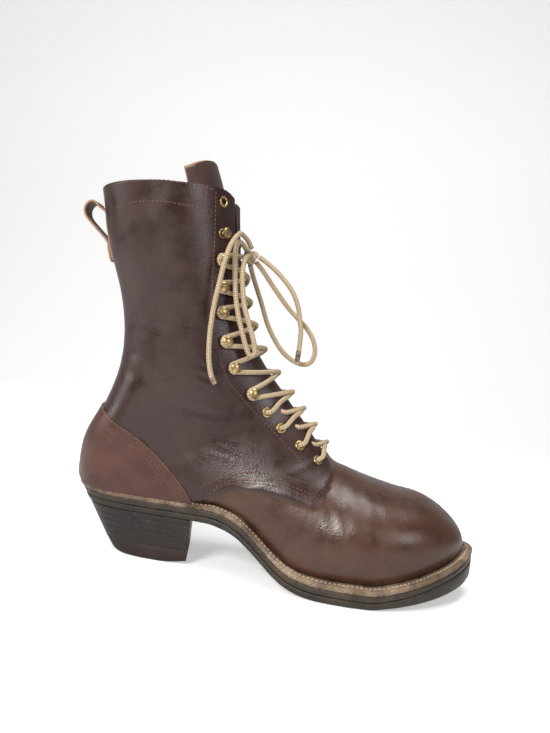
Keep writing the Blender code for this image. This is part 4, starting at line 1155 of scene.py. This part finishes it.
def dressed_heights():
    """Height of the leather's face over the skin at each point of the grid, and its share of quarter."""
    px = GRID[:, :, 0]
    pz = GRID[:, :, 2]
    share = quarter_share(px, pz)
    height = share * QUARTER_STEP - crease_depth(px, pz)
    for i, s in enumerate(ROWS):
        if s > ROW["seat_back"]:
            height[i, 0] += crease_depth(px[i, 0], pz[i, 0])
            height[i, -1] += crease_depth(px[i, -1], pz[i, -1])
    return height, share


def store(obj, name, grid_points, values):
    """Write values of the nearest grid points as a point attribute."""
    flat = grid_points.reshape(-1, 3)
    tree = KDTree(len(flat))
    for k, p in enumerate(flat):
        tree.insert(p * MM, k)
    tree.balance()
    layer = obj.data.attributes.new(name, "FLOAT", "POINT")
    flat_values = values.reshape(-1)
    for vertex, item in zip(obj.data.vertices, layer.data):
        item.value = float(flat_values[tree.find(vertex.co)[1]])


def cut(obj, cutter, operation, first, second):
    """Boolean that gives the faces from the cutter the second material."""
    for each in (obj, cutter):
        each.data.materials.append(MAT[first])
        each.data.materials.append(MAT[second])
    for polygon in cutter.data.polygons:
        polygon.material_index = 1
    boolean(obj, cutter, operation)


def add_upper():
    height, share = dressed_heights()
    outer = offset_grid(height[:, :, None])
    upper = shell("upper_body", offset_grid(-VAMP_WALL), outer, upper_cell)
    corner = prism("corner_region", corner_outline(), 40)
    cut(upper, corner, "DIFFERENCE", "upper", "dark_edge")
    return upper, outer, share


def add_counter():
    inner, outer = offset_grid(QUARTER_STEP - 0.2), offset_grid(QUARTER_STEP + GAP + COUNTER)
    counter = shell("counter_body", inner, outer,
                    lambda i, j: not strip_cell(i, j) and ROW["ankle_bone"] <= ROWS[i] < ROW["instep"])
    edge = [tuple(p) for p in fair_curve(COUNTER_EDGE, 4)]
    region = prism("counter_region", edge + [(-110, 38), (-110, 117)], 90)
    cut(counter, region, "INTERSECT", "counter", "raw")
    finish(counter, "counter", "raw", ("counter",), "counter_leather")


def add_tongue():
    high = -VAMP_WALL - GAP
    reach = round(STRIP_COLUMNS + TONGUE_COLUMNS * FACE_COLUMNS / 6)
    first, last = SIDE_COLUMNS - reach, SIDE_COLUMNS + reach
    inner, outer = tongue_grid(high - TONGUE), tongue_grid(high)
    tongue = shell("tongue_body", inner, outer, lambda i, j: first <= j < last)
    finish(tongue, "tongue", "raw", ("tongue",), "tongue_leather")


def add_pull_loop():
    inner = [skin(s, -1, -90, QUARTER_STEP + GAP + 0.5 * LOOP_THICK) for s in (1.28, 1.05, 0.8, 0.55, 0.36)]
    outer = [skin(s, -1, -90, QUARTER_STEP + 2 * GAP + 1.5 * LOOP_THICK) for s in (0.9, 1.05, 1.28)]
    sewn = [[(p[0], p[2], 1.0) for p in layer] for layer in (inner, outer)]
    path = fair_curve(sewn[0] + [(x, z, 0.0) for x, z in LOOP_ARC] + sewn[1], 5)
    tangent = unit_tangents(path[:, :2])
    loops = []
    for (x, z, follow), (tx, tz) in zip(path, tangent):
        ring = []
        for side in (0.5 * LOOP_THICK, -0.5 * LOOP_THICK):
            for y in np.linspace(-1, 1, 7) * np.sign(side):
                ring.append((x - side * tz + follow * LOOP_FALL * y * y, y * 0.5 * LOOP_WIDTH, z + side * tx))
        loops.append(ring)
    loop = skewer("pull_loop_body", loops)
    for polygon in loop.data.polygons:
        if abs(polygon.normal.y) > 0.7:
            polygon.material_index = 1
    finish(loop, "loop", "raw", ("pull_loop",), "loop_leather")


def spun(name, profile, closed, frame_matrix, steps):
    """Turned piece, with its place in its mesh."""
    bm = bmesh.new()
    points = [bm.verts.new((r * MM, 0.0, z * MM)) for r, z in profile]
    edges = [bm.edges.new((a, b)) for a, b in zip(points, points[1:])]
    if closed:
        edges.append(bm.edges.new((points[-1], points[0])))
    bmesh.ops.spin(bm, geom=points + edges, cent=(0, 0, 0), axis=(0, 0, 1), angle=2 * math.pi, steps=steps,
                   use_merge=True, dvec=(0, 0, 0), use_duplicate=False)
    bmesh.ops.remove_doubles(bm, verts=bm.verts, dist=WELD)
    bmesh.ops.recalc_face_normals(bm, faces=bm.faces)
    bmesh.ops.transform(bm, matrix=frame_matrix, verts=bm.verts)
    return mesh_object(name, bm)


# Turned profiles of the fittings: radius, height above the facing
EYELET_ROUND = [(2.15, 0.3), (2.3, 0.8), (2.8, 1.1), (3.3, 1.05), (3.8, 0.7), (4, 0.1), (3.9, -0.3),
                (2.7, -0.3), (2.7, -2.9), (2.15, -2.9)]
HOOK_ROUND = [(0, 6.5), (1.2, 6.4), (2.4, 6.1), (3.3, 5.7), (3.8, 5.2), (3.7, 4.9), (3.2, 4.75), (1.6, 4.7),
              (1.35, 4.2), (1.35, 1.4), (1.6, 0.9), (3.2, 0.8), (3.6, 0.6), (3.7, 0.2), (3.6, -0.4),
              (0, -0.4)]
HOLE_ROUND = [(0, 6), (2.6, 6), (2.6, -6), (0, -6)]
FOOT_R = 3.5


def add_fittings(upper):
    tree = BVHTree.FromObject(upper, bpy.context.evaluated_depsgraph_get())
    for label, side in SIDES:
        for name, s, distance in FITTINGS:
            base, _, number = name.partition("_")
            node = "%s_%s_%s" % (base, label, number)
            at = seat_frame(tree, s, side, distance, FOOT_R)
            if base == "hook":
                piece = spun(node + "_body", HOOK_ROUND, False, at, 24)
            else:
                piece = spun(node + "_body", EYELET_ROUND, True, at, 24)
                boolean(upper, spun("hole", HOLE_ROUND, False, at, 20), "DIFFERENCE")
            finish(piece, "brass", nodes=(node,), slot="aged_brass", angle=50)


def rise(s, side, distance, height):
    return skin(s, side, angle_behind(s, side, distance), height)


def neck_turn(s, side, distance):
    """The lace's way round a hook's neck, on the side away from the facing's edge."""
    centre = rise(s, side, distance, LACE_AT_FITTING)
    forward = rise(s, side, distance - 4, LACE_AT_FITTING) - centre
    forward /= np.linalg.norm(forward)
    upward = rise(s - 0.2, side, distance, LACE_AT_FITTING) - centre
    upward -= forward * np.dot(upward, forward)
    upward /= np.linalg.norm(upward)
    turn = []
    for angle in (-80, -125, -180, -235, -280):
        a = math.radians(angle)
        turn.append(centre + 3.3 * (forward * math.cos(a) + upward * math.sin(a)))
    return turn


def at_edge(s, side, height, behind=0):
    """Place on the skin at the facing's front edge, or this many degrees behind it."""
    return skin(s, side, slot_angle(s, side) - behind, height)


def lace_strand(name, route, nodes):
    strand = tube_mesh(name, fair_curve(route, 5), LACE_R)
    finish(strand, "lace", nodes=nodes, slot="lace_cord", angle=80)


def add_lace_runs():
    """Each half of the lace, criss-cross from the lowest eyelet up to the knot."""
    levels = FITTINGS[2:][::-1]
    for name, start in (("lace_run_lateral", -1), ("lace_run_medial", 1)):
        side = start
        pieces = 0
        route = []
        for k, ((low_name, low, behind), (high_name, high, _)) in enumerate(zip(levels, levels[1:])):
            if low_name.startswith("eyelet"):
                ways = ((0, -1.0), (0, 2.2), (3.5, 4.0))
                route = [rise(low, side, behind - ahead, height) for ahead, height in ways]
            else:
                route += neck_turn(low, side, behind)
            leave = low + 0.3 * (high - low)
            reach = low + 0.7 * (high - low)
            middle = 0.5 * (low + high)
            over = (k + (start > 0)) % 2
            ridge = LACE_AT_RIDGE + (1.7 if over else -0.6)
            route.append(at_edge(leave, side, LACE_AT_EDGE - 0.6))
            route.append(0.5 * (skin(middle, -1, 87, ridge) + skin(middle, 1, 87, ridge)))
            if high_name.startswith("eyelet"):
                behind_hole = skin(high, -side, slot_angle(reach, -side) - 3, -1.4)
                route += [at_edge(reach, -side, 1.2), behind_hole]
                pieces += 1
                nodes = ["lace_cross_%d" % (k + 1)] if start < 0 else []
                lace_strand("%s_%d" % (name, pieces), route, nodes)
            else:
                route.append(at_edge(reach, -side, LACE_AT_EDGE - 0.3))
            side = -side
        _, top, behind = levels[-1]
        toward = (-0.85, -0.45, -0.3) if side < 0 else (-0.8, 0.58, -0.12)
        route += neck_turn(top, side, behind)
        route += [at_edge(top - 0.12, side, LACE_AT_EDGE + 0.4), np.array(KNOT) + 4.5 * np.array(toward)]
        nodes = ["lace_rise_lateral" if side < 0 else "lace_rise_medial"]
        if start < 0:
            nodes += ["lace_cross_%d" % k for k in range(4, 10)]
        lace_strand(name + "_top", route, nodes)


def add_bow():
    """The knot, the tips of the free ends, and the ends and loops as cords."""
    t = np.linspace(0, 2 * math.pi, 61)[:-1]
    ring = np.stack([np.sin(t) + 2 * np.sin(2 * t), 1.3 * -np.sin(3 * t), np.cos(t) - 2 * np.cos(2 * t)], 1)
    knot = tube_mesh("lace_knot_body", ring * KNOT_SIZE + np.array(KNOT), LACE_R)
    finish(knot, "lace", nodes=("lace_knot",), slot="lace_cord", angle=80)
    tips = []
    for name, route in (("lace_tip_lateral", LACE_END_LATERAL), ("lace_tip_medial", LACE_END_MEDIAL)):
        before, end = np.array(route[-2:])
        a = before + 0.2 * (end - before)
        b = end + 0.06 * (end - before)
        tip = tube_mesh(name, [a + (b - a) * k / 5 for k in range(6)], LACE_R + 0.12, 16)
        finish(tip, "tip", slot="lace_cord", angle=60)
        tips.append(tip)
    for name, route, far_end, with_pieces in (
            ("lace_end_lateral", LACE_END_LATERAL, "bare", tips[:1]),
            ("lace_loop_lateral", LACE_LOOP_LATERAL, "object", []),
            ("lace_loop_medial", LACE_LOOP_MEDIAL, "object", []),
            ("lace_end_medial", LACE_END_MEDIAL, "bare", tips[1:])):
        path = fair_curve(route, 5)
        piece = tube_mesh(name + "_body", path, LACE_R)
        finish(piece, "lace", nodes=(name,), slot="lace_cord", angle=80)


# Search for a place on the skin: how far off it may be, how many turns, share of each step that is taken
LOCATE_MISS = 0.5
LOCATE_TURNS = 16
LOCATE_SHARE = 0.7


def locate(x, z, side):
    """How far off, row number and angle of the skin's point that is seen at x, z from this side."""
    half = GRID[:, :SIDE_COLUMNS + 1] if side < 0 else GRID[:, ::-1][:, :SIDE_COLUMNS + 1]
    far = (half[:, :, 0] - x) ** 2 + (half[:, :, 2] - z) ** 2
    i, j = np.unravel_index(far.argmin(), far.shape)
    s = ROWS[i]
    angle = column_angles(s, side)[j]
    best = (1e9, s, angle)
    for _ in range(LOCATE_TURNS):
        p = skin_point(s, side, angle)
        best = min(best, (math.hypot(x - p[0], z - p[2]), s, angle))
        a = (skin_point(s + 0.01, side, angle) - p) / 0.01
        b = (skin_point(s, side, angle + 0.2) - p) / 0.2
        m = np.array([[a[0], b[0]], [a[2], b[2]]])
        if abs(np.linalg.det(m)) < 1e-6:
            break
        ds, da = np.linalg.solve(m, [x - p[0], z - p[2]])
        s = min(max(s + LOCATE_SHARE * max(-0.5, min(0.5, ds)), 0.02), 17.0)
        angle = min(max(angle + LOCATE_SHARE * max(-8, min(8, da)), -89), 88)
    return best


def run_of(points):
    """Distance along a line of points, at each of them."""
    steps = np.linalg.norm(np.diff(points, axis=0), axis=1)
    return np.concatenate([[0.0], np.cumsum(steps)])


def sew(points, normals, stitches):
    """Lay stitches along a line of surface points."""
    points = np.array(points)
    run = run_of(points)
    for at in np.arange(0.8, run[-1] - STITCH_LONG, STITCH_PITCH):
        normal = np.array([np.interp(at, run, normals[:, c]) for c in range(3)])
        ends = []
        for share, lift in ((0, -STITCH_DIP), (0.5, STITCH_RISE), (1, -STITCH_DIP)):
            place = [np.interp(at + share * STITCH_LONG, run, points[:, c]) for c in range(3)]
            ends.append(np.array(place) + normal * lift)
        stitches.append(ends)


def stitches_mesh(name, stitches, radius, material, slot):
    verts = []
    faces = []
    sides = STITCH_SIDES
    for ends in stitches:
        base = len(verts)
        along = ends[2] - ends[0]
        along /= np.linalg.norm(along)
        across = np.cross(along, (0.2, 0.3, 0.93))
        across /= np.linalg.norm(across)
        up = np.cross(along, across)
        for point in ends:
            verts += circle(point, across, up, radius, sides)
        for a in range(2):
            faces += band(base + a * sides, base + (a + 1) * sides, sides)
        faces.append([base + k for k in range(sides)][::-1])
        faces.append([base + 2 * sides + k for k in range(sides)])
    finish(new_mesh_object(name, verts, faces), material, slot=slot, angle=80)


def surface_line(table, side, height, per_part=8):
    """Points and normals along a row; a height of None lies on the creased leather itself."""
    found = [locate(x, z, side) for x, z in table]
    points = []
    normals = []
    for s, angle in fair_curve([(s, angle) for miss, s, angle in found if miss < LOCATE_MISS], per_part):
        lift = height
        if height is None:
            x, _, z = skin_point(s, side, angle)
            lift = float(quarter_share(np.array(x), np.array(z))) * QUARTER_STEP
            lift -= float(crease_depth(np.array(x), np.array(z)))
        points.append(skin(s, side, angle, lift))
        normals.append(skin_normal(s, side, angle))
    return points, np.array(normals)


def add_stitches():
    upper = []
    edge = np.array(COUNTER_EDGE[1:-1], float)
    tangent = unit_tangents(edge)
    below = np.stack([tangent[:, 1], -tangent[:, 0]], 1)
    for side in (-1, 1):
        for table in STITCH_ROWS:
            sew(*surface_line(table, side, None), upper)
        for inset in COUNTER_INSETS:
            sew(*surface_line(edge + below * inset, side, QUARTER_STEP + GAP + COUNTER), upper)
    stitches_mesh("upper_stitches", upper, UPPER_STITCH_R, "thread", "upper_leather")
    welt = []
    low = OUTSOLE + MIDSOLE + 2 * GAP
    for half in rake(inset_sides(EDGE, lambda x: 0.42 * welt_width(x) + 0.4), SOLE_STACK - low - WELT):
        line = [(x, y, layer_z(x, low + WELT) + 0.1) for x, y in half if x > WELT_STITCH_FROM_X]
        sew(line, np.tile((0.0, 0.0, 1.0), (len(line), 1)), welt)
    stitches_mesh("welt_stitches", welt, WELT_STITCH_R, "welt_thread", "welt_leather")


add_camera()
add_lace_runs()
add_bow()
add_studio()
add_sole()
add_heel()
UPPER, OUTER_POINTS, QUARTER_SHARE = add_upper()
add_fittings(UPPER)
finish(UPPER, "upper", "dark_edge", ("upper",), "upper_leather", 60)
store(UPPER, "quarter", OUTER_POINTS, QUARTER_SHARE)
add_counter()
add_tongue()
add_pull_loop()
add_stitches()
